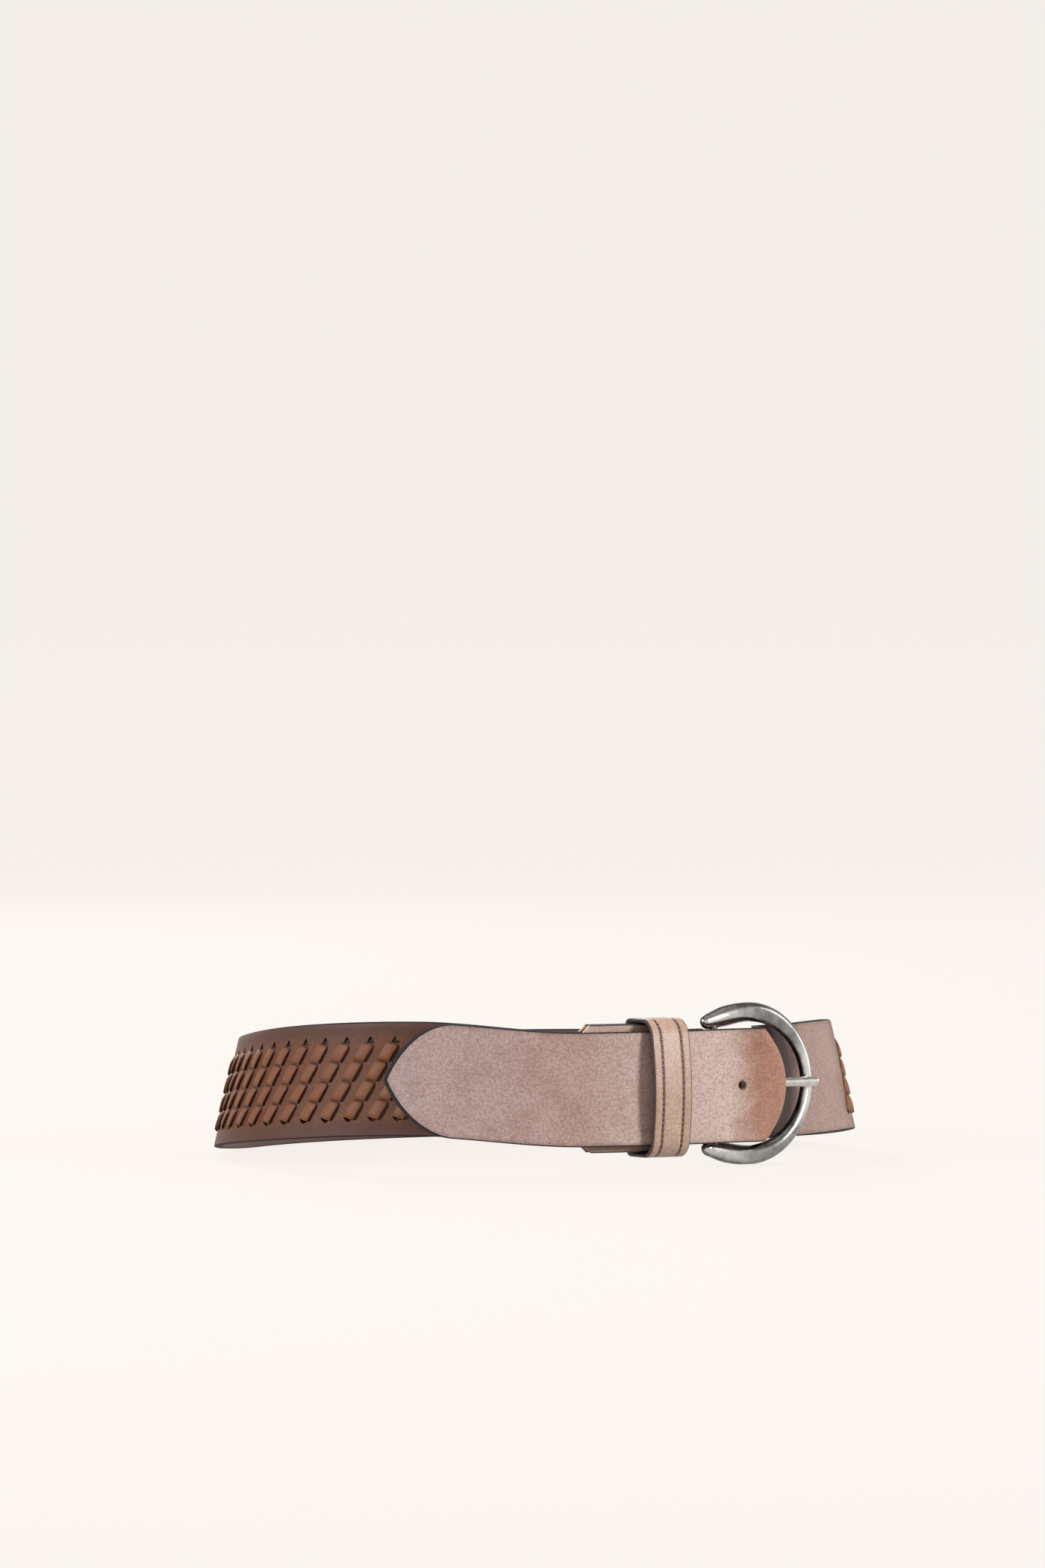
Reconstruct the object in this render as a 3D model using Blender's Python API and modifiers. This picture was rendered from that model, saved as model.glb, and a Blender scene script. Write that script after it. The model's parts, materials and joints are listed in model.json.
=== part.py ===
"""Buckled leather belt with diagonal lacing, a heel-bar buckle and one keeper, standing on its edge.

The strap is cut and punched flat, then wrapped round an oval waist.  A place on the belt is given as
(along, across, out): along the waist from the buckle bar towards the tip, across the strap's width with
zero at its middle, and outwards from the waist.  Metres, +Z up, the floor is z = 0.
"""

import math

import bmesh
import bpy
import numpy as np
from mathutils import Matrix, Vector

MM = 0.001

# Waist that the belt closes round, and how the belt sits on it
WAIST_LONG = 259 * MM
WAIST_SHORT = 219 * MM
WAIST_TURN = math.radians(48)
BAR_ANGLE = math.radians(98.5)
FRONT_LEAN = math.radians(1)
SIDE_LEAN = math.radians(13)

# Strap
STRAP_WIDTH = 45 * MM
STRAP_THICK = 3.4 * MM
TIP_LENGTH = 28 * MM
TIP_REACH = 133 * MM
TIP_FULLNESS = 0.92
BEND_LENGTH = 14 * MM
BEND_GAP = 4 * MM
BEND_BOW = 12 * MM
HOLE_RADIUS = 2.1 * MM
HOLE_SPACING = 31 * MM
HOLE_COUNT = 3
USED_HOLE = 2

# Lacing
LACE_PITCH = 10.5 * MM
LACE_ROWS = 4
LACE_ROW_HEIGHT = 7.7 * MM
LACE_ROW_SHIFT = 5.0 * MM
LACE_WIDTH = 4.6 * MM
LACE_THICK = 1.1 * MM
LACE_BULGE = 0.8 * MM
LACE_LENGTHS = 4
LACE_FROM_TAB = 39.4 * MM
LACE_FROM_LAST_HOLE = 60 * MM
SLOT_SIDE_GAP = 0.4 * MM

# Buckle tab, the leather that folds round the bar
TAB_THICK = 2.0 * MM
TAB_LENGTH = 60.4 * MM
TAB_WIDTH = 50.4 * MM
TAB_NECK_WIDTH = 43 * MM
TAB_NECK_LENGTH = 21 * MM
TAB_CHAMFER = 4.5 * MM
PRONG_SLOT_WIDTH = 7.4 * MM
PRONG_SLOT_LENGTH = 11 * MM

# Rivets through the tab
RIVET_HEAD_RADIUS = 4 * MM
RIVET_HEAD_THICK = 0.7 * MM
RIVET_SHANK_RADIUS = 1.5 * MM
RIVET_ALONG = (13.5 * MM, 50 * MM)
RIVET_ACROSS = 13 * MM
RIVET_DOME_SIDES = 12

# Keeper
KEEPER_AT = 28.6 * MM
KEEPER_LENGTH = 17 * MM
KEEPER_THICK = 1.6 * MM
KEEPER_SLACK = 3.2 * MM
KEEPER_CORNER = 3.4 * MM
KEEPER_BUTT_GAP = 0.5 * MM
STITCH_RADIUS = 0.4 * MM
STITCH_INSET = 4.0 * MM
STAPLE_RADIUS = 0.45 * MM
STAPLE_SPAN = 8 * MM

# Buckle
BAR_RADIUS = 1.75 * MM
FRAME_REACH = 46 * MM
FRAME_HEIGHT = 63.4 * MM
FRAME_HORN = 4 * MM
FRAME_SHOULDER = 18 * MM
FRAME_RADIUS = 3.1 * MM
FRAME_TOP_RADIUS = 3.6 * MM
FRAME_SHOULDER_RADIUS = 4.0 * MM
HORN_END_RADIUS = 2.4 * MM
HORN_TUCK = 3.9 * MM
FRAME_FLATTEN = 0.84
PRONG_RADIUS = 2.0 * MM
PRONG_EYE_WALL = 1.7 * MM
PRONG_OVERHANG = 5 * MM
PRONG_PLAY = math.radians(3)
FRAME_PLAY = math.radians(1.5)

# Clearances
GAP = 0.3 * MM
BILLET_LIFT = 0.8 * MM
FRONT_RISE = 4.0 * MM
SLICE = 10 * MM
BEND_SLICE = 3.5 * MM


def ellipse_point(angle):
    """Point of the waist's oval at an ellipse angle, right to left across the front as it grows."""
    long_axis = WAIST_LONG / 2 * math.cos(angle)
    short_axis = WAIST_SHORT / 2 * math.sin(angle)
    turn_cos, turn_sin = math.cos(WAIST_TURN), math.sin(WAIST_TURN)
    x = long_axis * turn_cos + short_axis * turn_sin
    y = long_axis * turn_sin - short_axis * turn_cos
    return np.array((x, y))


def sample_waist(steps=2880):
    """Arc length and points of one turn of the waist, starting at the buckle bar."""
    points = np.array([ellipse_point(BAR_ANGLE + 2 * math.pi * i / steps) for i in range(steps + 1)])
    lengths = np.concatenate(([0.0], np.cumsum(np.linalg.norm(np.diff(points, axis=0), axis=1))))
    return lengths, points


WAIST_LENGTHS, WAIST_POINTS = sample_waist()
WAIST = float(WAIST_LENGTHS[-1])


def on_waist(along):
    """Point, forward direction and outward normal of the waist at a distance from the bar."""
    turned = along % WAIST
    step = WAIST / 1440
    ends = [
        np.array([np.interp((turned + d) % WAIST, WAIST_LENGTHS, WAIST_POINTS[:, k]) for k in (0, 1)])
        for d in (-step, 0, step)
    ]
    forward = (ends[2] - ends[0]) / np.linalg.norm(ends[2] - ends[0])
    return ends[1], forward, np.array((-forward[1], forward[0]))


def smooth(knots, value):
    """Value read from (position, value) knots, easing from one to the next."""
    for (start, low), (end, high) in zip(knots, knots[1:]):
        if value <= end:
            share = min(1.0, max(0.0, (value - start) / (end - start)))
            return low + (high - low) * share * share * (3 - 2 * share)
    return knots[-1][1]


# Layers, outwards from the waist: back ply, strap end, front ply, billet
STRAP_IN_TAB = TAB_THICK + GAP + STRAP_THICK / 2
FRONT_PLY = STRAP_IN_TAB + STRAP_THICK / 2 + GAP
TAB_OUTSIDE = FRONT_PLY + TAB_THICK
BAR_OUT = TAB_OUTSIDE / 2
BILLET_ON_TAB = TAB_OUTSIDE + RIVET_HEAD_THICK + 2 * GAP + BILLET_LIFT + STRAP_THICK / 2
LACE_LAYER = GAP + LACE_THICK
STRAP_ON_WAIST = LACE_LAYER + STRAP_THICK / 2
TIP_OUT = STRAP_ON_WAIST + STRAP_THICK + LACE_LAYER + LACE_BULGE + 2 * GAP
STRAP_BEHIND_BUCKLE = STRAP_THICK / 2
DIVE_START = FRAME_REACH - FRAME_RADIUS - BEND_GAP
DIVE_END = DIVE_START - BEND_LENGTH
BILLET_OVER_PRONG = BILLET_ON_TAB + 3.2 * MM
STRAP_START = BAR_OUT + 2 * MM

# Height of the strap's middle: the back lies on the floor, and the buckle's foot props the front up
FLAT_HEIGHT = STRAP_WIDTH / 2 * math.cos(SIDE_LEAN)
BUCKLE_HEIGHT = FRAME_HEIGHT / 2 * math.cos(FRONT_LEAN) + GAP


def strap_out(along, across=0.0):
    """How far the strap's middle layer lies outside the waist; its bend through the buckle is bowed."""
    bow = BEND_BOW * (2 * across / STRAP_WIDTH) ** 2
    knots = (
        (TAB_LENGTH, STRAP_IN_TAB),
        (TAB_LENGTH + 25 * MM, STRAP_ON_WAIST),
        (WAIST - 2 * FRAME_REACH, STRAP_ON_WAIST),
        (WAIST - 1.4 * FRAME_REACH, STRAP_BEHIND_BUCKLE),
        (WAIST - DIVE_START + bow, STRAP_BEHIND_BUCKLE),
        (WAIST - DIVE_END + bow, BILLET_OVER_PRONG),
        (WAIST, BILLET_ON_TAB),
        (WAIST + TAB_LENGTH, BILLET_ON_TAB),
        (WAIST + TIP_REACH, TIP_OUT),
    )
    return smooth(knots, along)


def middle_height(along):
    """Height of the strap's middle above the floor."""
    turned = along % WAIST
    knots = (
        (0, BUCKLE_HEIGHT),
        (TAB_LENGTH, BUCKLE_HEIGHT),
        (2 * TAB_LENGTH, BUCKLE_HEIGHT + FRONT_RISE),
        (0.42 * WAIST, FLAT_HEIGHT),
        (0.7 * WAIST, FLAT_HEIGHT),
        (WAIST - 1.9 * FRAME_REACH, BUCKLE_HEIGHT),
    )
    return smooth(knots, turned)


def lean_at(along):
    """How far the wall leans in towards its top: hardly at the front, more at the sides and the back."""
    knots = (
        (TIP_REACH, FRONT_LEAN),
        (0.31 * WAIST, SIDE_LEAN),
        (WAIST - 2.2 * FRAME_REACH, SIDE_LEAN),
        (WAIST - 1.05 * FRAME_REACH, FRONT_LEAN),
    )
    return smooth(knots, along % WAIST)


def stand(plan, along, across):
    """World point of a place on the leaning wall, from its plan at the strap's middle."""
    lean = lean_at(along)
    moved = plan - on_waist(along)[2] * across * math.sin(lean)
    return Vector((moved[0], moved[1], middle_height(along) + across * math.cos(lean)))


def wrap_on_waist(along, across, out):
    """Wraps a flat piece that follows the waist itself."""
    plan, _, normal = on_waist(along)
    return stand(plan + normal * out, along, across)


def strap_plan(along, across):
    """Plan point of the strap's middle layer."""
    plan, _, normal = on_waist(along)
    return plan + normal * strap_out(along, across)


def trace_strap(steps=1800):
    """Waist distance and arc length along the middle of the strap."""
    alongs = np.linspace(STRAP_START, WAIST + TIP_REACH, steps)
    points = np.array([strap_plan(a, 0) for a in alongs])
    lengths = np.concatenate(([0.0], np.cumsum(np.linalg.norm(np.diff(points, axis=0), axis=1))))
    return alongs, lengths


TRACE_ALONG, TRACE_LENGTH = trace_strap()
STRAP_LENGTH = float(TRACE_LENGTH[-1])


def strap_length_at(along):
    """Distance from the strap's buckle end, along its middle layer, of a place on the waist."""
    return float(np.interp(along, TRACE_ALONG, TRACE_LENGTH))


def wrap_on_strap(length, across, out):
    """Wraps a flat piece that follows the strap; out is measured from the strap's middle layer."""
    along = float(np.interp(length, TRACE_LENGTH, TRACE_ALONG))
    step = 0.5 * MM
    forward = strap_plan(along + step, across) - strap_plan(along - step, across)
    normal = np.array((-forward[1], forward[0])) / np.linalg.norm(forward)
    point = strap_plan(along, across) + normal * out
    return stand(point, along, across)


def clear_scene():
    for obj in list(bpy.data.objects):
        bpy.data.objects.remove(obj, do_unlink=True)


def new_collection(name):
    made = bpy.data.collections.new(name)
    bpy.context.scene.collection.children.link(made)
    return made


def leather(name, colour, roughness):
    return surface(name, colour, roughness, 0.0)


def surface(name, colour, roughness, metallic):
    made = bpy.data.materials.new(name)
    made.use_nodes = True
    shader = made.node_tree.nodes["Principled BSDF"]
    shader.inputs["Base Color"].default_value = (*colour, 1)
    shader.inputs["Roughness"].default_value = roughness
    shader.inputs["Metallic"].default_value = metallic
    return made


def add(name, mesh, collection, material=None):
    """A named object from a finished mesh."""
    obj = bpy.data.objects.new(name, mesh)
    collection.objects.link(obj)
    if material:
        mesh.materials.clear()
        mesh.materials.append(material)
    return obj


def cutter(mesh, name="cutter"):
    obj = add(name, mesh, CUTTERS)
    obj.hide_render = True
    obj.display_type = "WIRE"
    return obj


def solid_of(obj):
    """Evaluated mesh of an object with its caps welded, after which the object is removed."""
    bpy.context.view_layer.update()
    graph = bpy.context.evaluated_depsgraph_get()
    mesh = bpy.data.meshes.new_from_object(obj.evaluated_get(graph))
    mesh.transform(obj.matrix_world)
    bpy.data.objects.remove(obj, do_unlink=True)
    shape = bmesh.new()
    shape.from_mesh(mesh)
    bmesh.ops.remove_doubles(shape, verts=shape.verts, dist=1e-6)
    bmesh.ops.recalc_face_normals(shape, faces=shape.faces)
    shape.to_mesh(mesh)
    shape.free()
    return mesh


def outline_solid(outlines, depth):
    """Closed flat outlines, the first one solid and the others holes, extruded to a depth."""
    data = bpy.data.curves.new("outline", "CURVE")
    data.dimensions = "2D"
    data.fill_mode = "BOTH"
    data.extrude = depth / 2
    for outline in outlines:
        spline = data.splines.new("POLY")
        spline.points.add(len(outline) - 1)
        for point, place in zip(spline.points, outline):
            point.co = (place[0], place[1], 0, 1)
        spline.use_cyclic_u = True
    obj = bpy.data.objects.new("outline", data)
    bpy.context.scene.collection.objects.link(obj)
    return solid_of(obj)


def tube(path, radii, sides_level):
    """A round bar along a path, with a radius for each point."""
    data = bpy.data.curves.new("tube", "CURVE")
    data.dimensions = "3D"
    data.bevel_depth = 1
    data.bevel_resolution = sides_level
    data.use_fill_caps = True
    spline = data.splines.new("POLY")
    spline.points.add(len(path) - 1)
    for point, place, radius in zip(spline.points, path, radii):
        point.co = (*place, 1)
        point.radius = radius
    obj = bpy.data.objects.new("tube", data)
    bpy.context.scene.collection.objects.link(obj)
    return solid_of(obj)


def turned(profile, steps):
    """A turned solid about the local Z axis from (radius, height) points down its outer side."""
    mesh = bpy.data.meshes.new("profile")
    points = [(r, 0, z) for r, z in profile]
    mesh.from_pydata(points, [(i, i + 1) for i in range(len(points) - 1)], [])
    obj = bpy.data.objects.new("profile", mesh)
    bpy.context.scene.collection.objects.link(obj)
    screw = obj.modifiers.new("turn", "SCREW")
    screw.steps = screw.render_steps = steps
    screw.use_merge_vertices = True
    screw.merge_threshold = 1e-5
    return solid_of(obj)


def box(low, high):
    shape = bmesh.new()
    bmesh.ops.create_cube(shape, size=1)
    size = [b - a for a, b in zip(low, high)]
    middle = [(a + b) / 2 for a, b in zip(low, high)]
    bmesh.ops.scale(shape, vec=size, verts=shape.verts)
    bmesh.ops.translate(shape, vec=middle, verts=shape.verts)
    mesh = bpy.data.meshes.new("box")
    shape.to_mesh(mesh)
    shape.free()
    return mesh


def cylinder(radius, depth, segments, matrix):
    shape = bmesh.new()
    bmesh.ops.create_cone(
        shape,
        cap_ends=True,
        segments=segments,
        radius1=radius,
        radius2=radius,
        depth=depth,
        matrix=matrix,
    )
    mesh = bpy.data.meshes.new("cylinder")
    shape.to_mesh(mesh)
    shape.free()
    return mesh


def cut(mesh, cutters):
    """The mesh with every cutter taken out of it."""
    obj = add("cut_work", mesh, CUTTERS)
    for tool_mesh in cutters:
        tool = cutter(tool_mesh)
        difference = obj.modifiers.new("cut", "BOOLEAN")
        difference.operation = "DIFFERENCE"
        difference.object = tool
    result = solid_of(obj)
    for tool in [o for o in CUTTERS.objects if o.name.startswith("cutter")]:
        bpy.data.objects.remove(tool, do_unlink=True)
    return result


def joined(meshes):
    """Several closed meshes as one, for use as a single cutter."""
    shape = bmesh.new()
    for mesh in meshes:
        shape.from_mesh(mesh)
    made = bpy.data.meshes.new("joined")
    shape.to_mesh(made)
    shape.free()
    return made


def between(low, high, step):
    """Evenly spaced places strictly between two ends, no further apart than a step."""
    count = max(1, math.ceil((high - low) / step))
    return [low + (high - low) * i / count for i in range(1, count)]


def slice_shape(shape, places, normal, low, high):
    """Cuts new edges into the faces that lie between two places along X."""
    axis = Vector(normal)
    for place in places:
        faces = [f for f in shape.faces if all(low - 1e-6 <= v.co.x <= high + 1e-6 for v in f.verts)]
        edges = {e for f in faces for e in f.edges}
        verts = {v for f in faces for v in f.verts}
        parts = list(edges) + list(verts) + faces
        bmesh.ops.bisect_plane(shape, geom=parts, dist=1e-7, plane_co=axis * place, plane_no=axis)


def wrapped(mesh, place, bend=None):
    """Slices a flat mesh so that it can bend, finely in a tight bend, and moves each point by a rule."""
    shape = bmesh.new()
    shape.from_mesh(mesh)
    xs = [v.co.x for v in shape.verts]
    slice_shape(shape, between(min(xs), max(xs), SLICE), (1, 0, 0), min(xs), max(xs))
    if bend:
        slice_shape(shape, [*bend, *between(*bend, BEND_SLICE)], (1, 0, 0), min(xs), max(xs))
        slice_shape(shape, between(-STRAP_WIDTH / 2, STRAP_WIDTH / 2, STRAP_WIDTH / 6), (0, 1, 0), *bend)
    bmesh.ops.triangulate(shape, faces=shape.faces)
    for v in shape.verts:
        v.co = place(v.co.x, v.co.y, v.co.z)
    bmesh.ops.reverse_faces(shape, faces=shape.faces)
    shape.to_mesh(mesh)
    shape.free()
    return mesh


def local_axes(along):
    """Axes at a place on the waist: right towards the buckle's crossbar, up the strap and outwards."""
    _, forward, normal = on_waist(along)
    right = Vector((-forward[0], -forward[1], 0))
    out = Vector((normal[0], normal[1], 0))
    lean = lean_at(along)
    up = math.cos(lean) * Vector((0, 0, 1)) - math.sin(lean) * out
    return right, up, out


def set_down(mesh, along, out):
    """Turns a mesh of local (right, up, out) points to the belt's axes, and gives the origin for it."""
    right, up, outward = local_axes(along)
    mesh.transform(Matrix((right, up, outward)).transposed().to_4x4())
    return wrap_on_waist(along, 0, out)


def tip_half_width(from_tip):
    """Half the strap's width at a distance from its tip: two arcs that meet in a blunt point."""
    share = min(1.0, from_tip / TIP_LENGTH)
    return STRAP_WIDTH / 2 * (1 - (1 - share) ** 2) ** TIP_FULLNESS


def hole_length(index):
    """Place of a belt hole along the strap; the used one is where the prong comes through."""
    crossing = (DIVE_START + DIVE_END) / 2
    return strap_length_at(WAIST - crossing) + (USED_HOLE - index) * HOLE_SPACING


def lace_places():
    """Strap distance of each diagonal's bottom slot, which the diagonals share with the strap."""
    first = strap_length_at(TAB_LENGTH + LACE_FROM_TAB) + LACE_ROWS * LACE_ROW_SHIFT
    last = hole_length(HOLE_COUNT - 1) - LACE_FROM_LAST_HOLE
    count = int((last - first) / LACE_PITCH) + 1
    return [first + i * LACE_PITCH for i in range(count)]


LACE_REACH = LACE_ROWS * LACE_ROW_HEIGHT / 2
LACE_SHIFT = LACE_ROWS * LACE_ROW_SHIFT
LACE_LEG = LACE_THICK
LACE_LEG_WIDTH = 0.75 * LACE_WIDTH


def make_strap(material):
    """The strap: flat outline with its pointed tip, punched and slotted, then wrapped and pierced."""
    steps = 12
    tip = [TIP_LENGTH * (i / steps) ** 2 for i in range(steps + 1)]
    upper = [(STRAP_LENGTH - x, tip_half_width(x)) for x in reversed(tip)]
    lower = [(x, -w) for x, w in reversed(upper[:-1])]
    start = [(0, -STRAP_WIDTH / 2), (0, STRAP_WIDTH / 2)]
    flat = outline_solid([start + upper + lower], STRAP_THICK)
    deep = 3 * STRAP_THICK
    holes = [
        cylinder(HOLE_RADIUS, deep, 14, Matrix.Translation((hole_length(i), 0, 0)))
        for i in range(HOLE_COUNT)
        if i != USED_HOLE
    ]
    slot_wide = LACE_LEG_WIDTH / 2 + SLOT_SIDE_GAP
    slot_tall = LACE_LEG / 2 + SLOT_SIDE_GAP
    for place in lace_places():
        for side, across in ((0, -LACE_REACH), (-LACE_SHIFT, LACE_REACH)):
            low = (place + side - slot_wide, across - slot_tall, -deep)
            high = (place + side + slot_wide, across + slot_tall, deep)
            holes.append(box(low, high))
    for along in RIVET_ALONG:
        for side in (-1, 1):
            where = Matrix.Translation((strap_length_at(along), side * RIVET_ACROSS, 0))
            holes.append(cylinder(RIVET_SHANK_RADIUS + GAP, deep, 14, where))
    bend_start = strap_length_at(WAIST - DIVE_START - 4 * MM)
    bend_end = strap_length_at(WAIST - DIVE_END + BEND_BOW + 4 * MM)
    bend = (bend_start, bend_end)
    mesh = wrapped(cut(flat, [joined(holes)]), wrap_on_strap, bend)
    return add("strap", cut(mesh, [prong_passage()]), PARTS, material)


def lace_path(places):
    """Points of one lace: up each diagonal in bulging steps, through to the back, down to the next."""
    front = STRAP_THICK / 2 + GAP + LACE_THICK / 2
    back = -front
    path = []
    for i, place in enumerate(places):
        if i == 0:
            path.append((place, -LACE_REACH, back, LACE_LEG_WIDTH))
        for row in range(LACE_ROWS):
            across = -LACE_REACH + row * LACE_ROW_HEIGHT
            along = place - row * LACE_ROW_SHIFT
            wide = LACE_LEG_WIDTH if row == 0 else LACE_WIDTH
            path.append((along, across, front, wide))
            half = 0.5
            crown = (along - half * LACE_ROW_SHIFT, across + half * LACE_ROW_HEIGHT)
            path.append((*crown, front + LACE_BULGE, LACE_WIDTH))
        path.append((place - LACE_SHIFT, LACE_REACH, front, LACE_LEG_WIDTH))
        path.append((place - LACE_SHIFT, LACE_REACH, back, LACE_LEG_WIDTH))
        if i + 1 < len(places):
            middle = (place - LACE_SHIFT + places[i + 1]) / 2
            path.append((middle, 0, back, LACE_WIDTH))
            path.append((places[i + 1], -LACE_REACH, back, LACE_LEG_WIDTH))
    return path


def make_lace(name, places, material):
    """A flat lace swept along its path, its width always lying along the strap."""
    path = lace_path(places)
    shape = bmesh.new()
    rings = []
    for i, (along, across, out, wide) in enumerate(path):
        before = Vector(path[max(i - 1, 0)][1:3])
        here = Vector((across, out))
        after = Vector(path[min(i + 1, len(path) - 1)][1:3])
        incoming = (here - before).normalized() if i else (after - here).normalized()
        outgoing = (after - here).normalized() if i + 1 < len(path) else incoming
        bisector = (incoming + outgoing).normalized()
        side = Vector((-bisector.y, bisector.x)) * (LACE_THICK / 2 / max(0.5, bisector.dot(incoming)))
        corners = [(-0.5, -1), (0.5, -1), (0.5, 1), (-0.5, 1)]
        ring = [
            shape.verts.new(wrap_on_strap(along + a * wide, across + b * side.x, out + b * side.y))
            for a, b in corners
        ]
        rings.append(ring)
    for ring, following in zip(rings, rings[1:]):
        for k in range(4):
            shape.faces.new((ring[k], ring[(k + 1) % 4], following[(k + 1) % 4], following[k]))
    shape.faces.new(rings[0])
    shape.faces.new(rings[-1])
    bmesh.ops.recalc_face_normals(shape, faces=shape.faces)
    mesh = bpy.data.meshes.new(name)
    shape.to_mesh(mesh)
    shape.free()
    return add(name, mesh, PARTS, material)


def make_laces(material):
    places = lace_places()
    share = math.ceil(len(places) / LACE_LENGTHS)
    for i in range(LACE_LENGTHS):
        make_lace(f"lace_{i + 1}", places[i * share : (i + 1) * share], material)


def tab_outline():
    """Section of the tab: back ply, fold round the bar and front ply, as (along, out) points."""
    fold = [math.radians(90 + 180 * i / 10) for i in range(11)]
    outer, inner = BAR_OUT, BAR_OUT - TAB_THICK
    outer_fold = [(outer * math.cos(a), BAR_OUT + outer * math.sin(a)) for a in fold]
    inner_fold = [(inner * math.cos(a), BAR_OUT + inner * math.sin(a)) for a in reversed(fold)]
    back_end = [(TAB_LENGTH, 0), (TAB_LENGTH, TAB_THICK)]
    front_end = [(TAB_LENGTH, FRONT_PLY), (TAB_LENGTH, TAB_OUTSIDE)]
    return outer_fold + back_end + inner_fold + front_end


def make_tab(material):
    """The buckle tab, narrowed at the buckle, slotted for the prong and bored for its rivets."""
    mesh = outline_solid([tab_outline()], TAB_WIDTH)
    mesh.transform(Matrix.Rotation(math.radians(90), 4, "X"))
    wide, neck = TAB_WIDTH / 2, TAB_NECK_WIDTH / 2
    deep = 3 * TAB_OUTSIDE
    slot = PRONG_SLOT_WIDTH / 2
    cutters = [box((-PRONG_SLOT_LENGTH, -slot, -deep), (PRONG_SLOT_LENGTH, slot, deep))]
    for side in (-1, 1):
        low, high = sorted((side * neck, side * 2 * wide))
        cutters.append(box((-TAB_LENGTH, low, -deep), (TAB_NECK_LENGTH, high, deep)))
        corner = cylinder(TAB_CHAMFER, 2 * deep, 4, Matrix.Translation((TAB_LENGTH, side * wide, 0)))
        cutters.append(corner)
        for along in RIVET_ALONG:
            where = Matrix.Translation((along, side * RIVET_ACROSS, 0))
            cutters.append(cylinder(RIVET_SHANK_RADIUS + GAP, 2 * deep, 14, where))
    return add("buckle_tab", wrapped(cut(mesh, cutters), wrap_on_waist), PARTS, material)


def make_rivets(material):
    """Two rivets on each side of the keeper: a headed post through the tab, and a cap on its end."""
    cap_low = TAB_OUTSIDE + GAP
    shank_top = TAB_OUTSIDE + GAP + 0.2 * MM
    number = 0
    for along in RIVET_ALONG:
        for side in (-1, 1):
            number += 1
            post_profile = [
                (0, shank_top),
                (RIVET_SHANK_RADIUS, shank_top),
                (RIVET_SHANK_RADIUS, -GAP),
                (RIVET_HEAD_RADIUS, -GAP),
                (RIVET_HEAD_RADIUS, -GAP - RIVET_HEAD_THICK),
                (0, -GAP - RIVET_HEAD_THICK),
            ]
            socket = RIVET_SHANK_RADIUS + GAP
            cap_profile = [
                (0, cap_low + RIVET_HEAD_THICK + 0.2 * MM),
                (0.7 * RIVET_HEAD_RADIUS, cap_low + RIVET_HEAD_THICK + 0.1 * MM),
                (RIVET_HEAD_RADIUS, cap_low + 0.4 * RIVET_HEAD_THICK),
                (RIVET_HEAD_RADIUS, cap_low),
                (socket, cap_low),
                (socket, shank_top + GAP),
                (0, shank_top + GAP),
            ]
            profiles = {"post": post_profile, "cap": cap_profile}
            for kind, profile in profiles.items():
                mesh = turned(profile, RIVET_DOME_SIDES)
                right, up, out = local_axes(along)
                mesh.transform(Matrix((right, up, out)).transposed().to_4x4())
                obj = add(f"rivet_{kind}_{number}", mesh, PARTS, material)
                obj.location = wrap_on_waist(along, side * RIVET_ACROSS, 0)


def rounded_loop(half_high, low, high, corner, steps=5):
    """Rounded rectangle in (up, out)."""
    centres = (
        (half_high - corner, high - corner, 0),
        (-half_high + corner, high - corner, 90),
        (-half_high + corner, low + corner, 180),
        (half_high - corner, low + corner, 270),
    )
    points = []
    for x, y, start in centres:
        for i in range(steps + 1):
            angle = math.radians(start + 90 * i / steps)
            points.append((x + corner * math.cos(angle), y + corner * math.sin(angle)))
    return points


KEEPER_HALF = TAB_WIDTH / 2 + GAP + 0.2 * MM
KEEPER_BACK = -(RIVET_HEAD_THICK + GAP + 1.0 * MM)
KEEPER_FRONT = BILLET_ON_TAB + STRAP_THICK / 2 + KEEPER_SLACK


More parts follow.
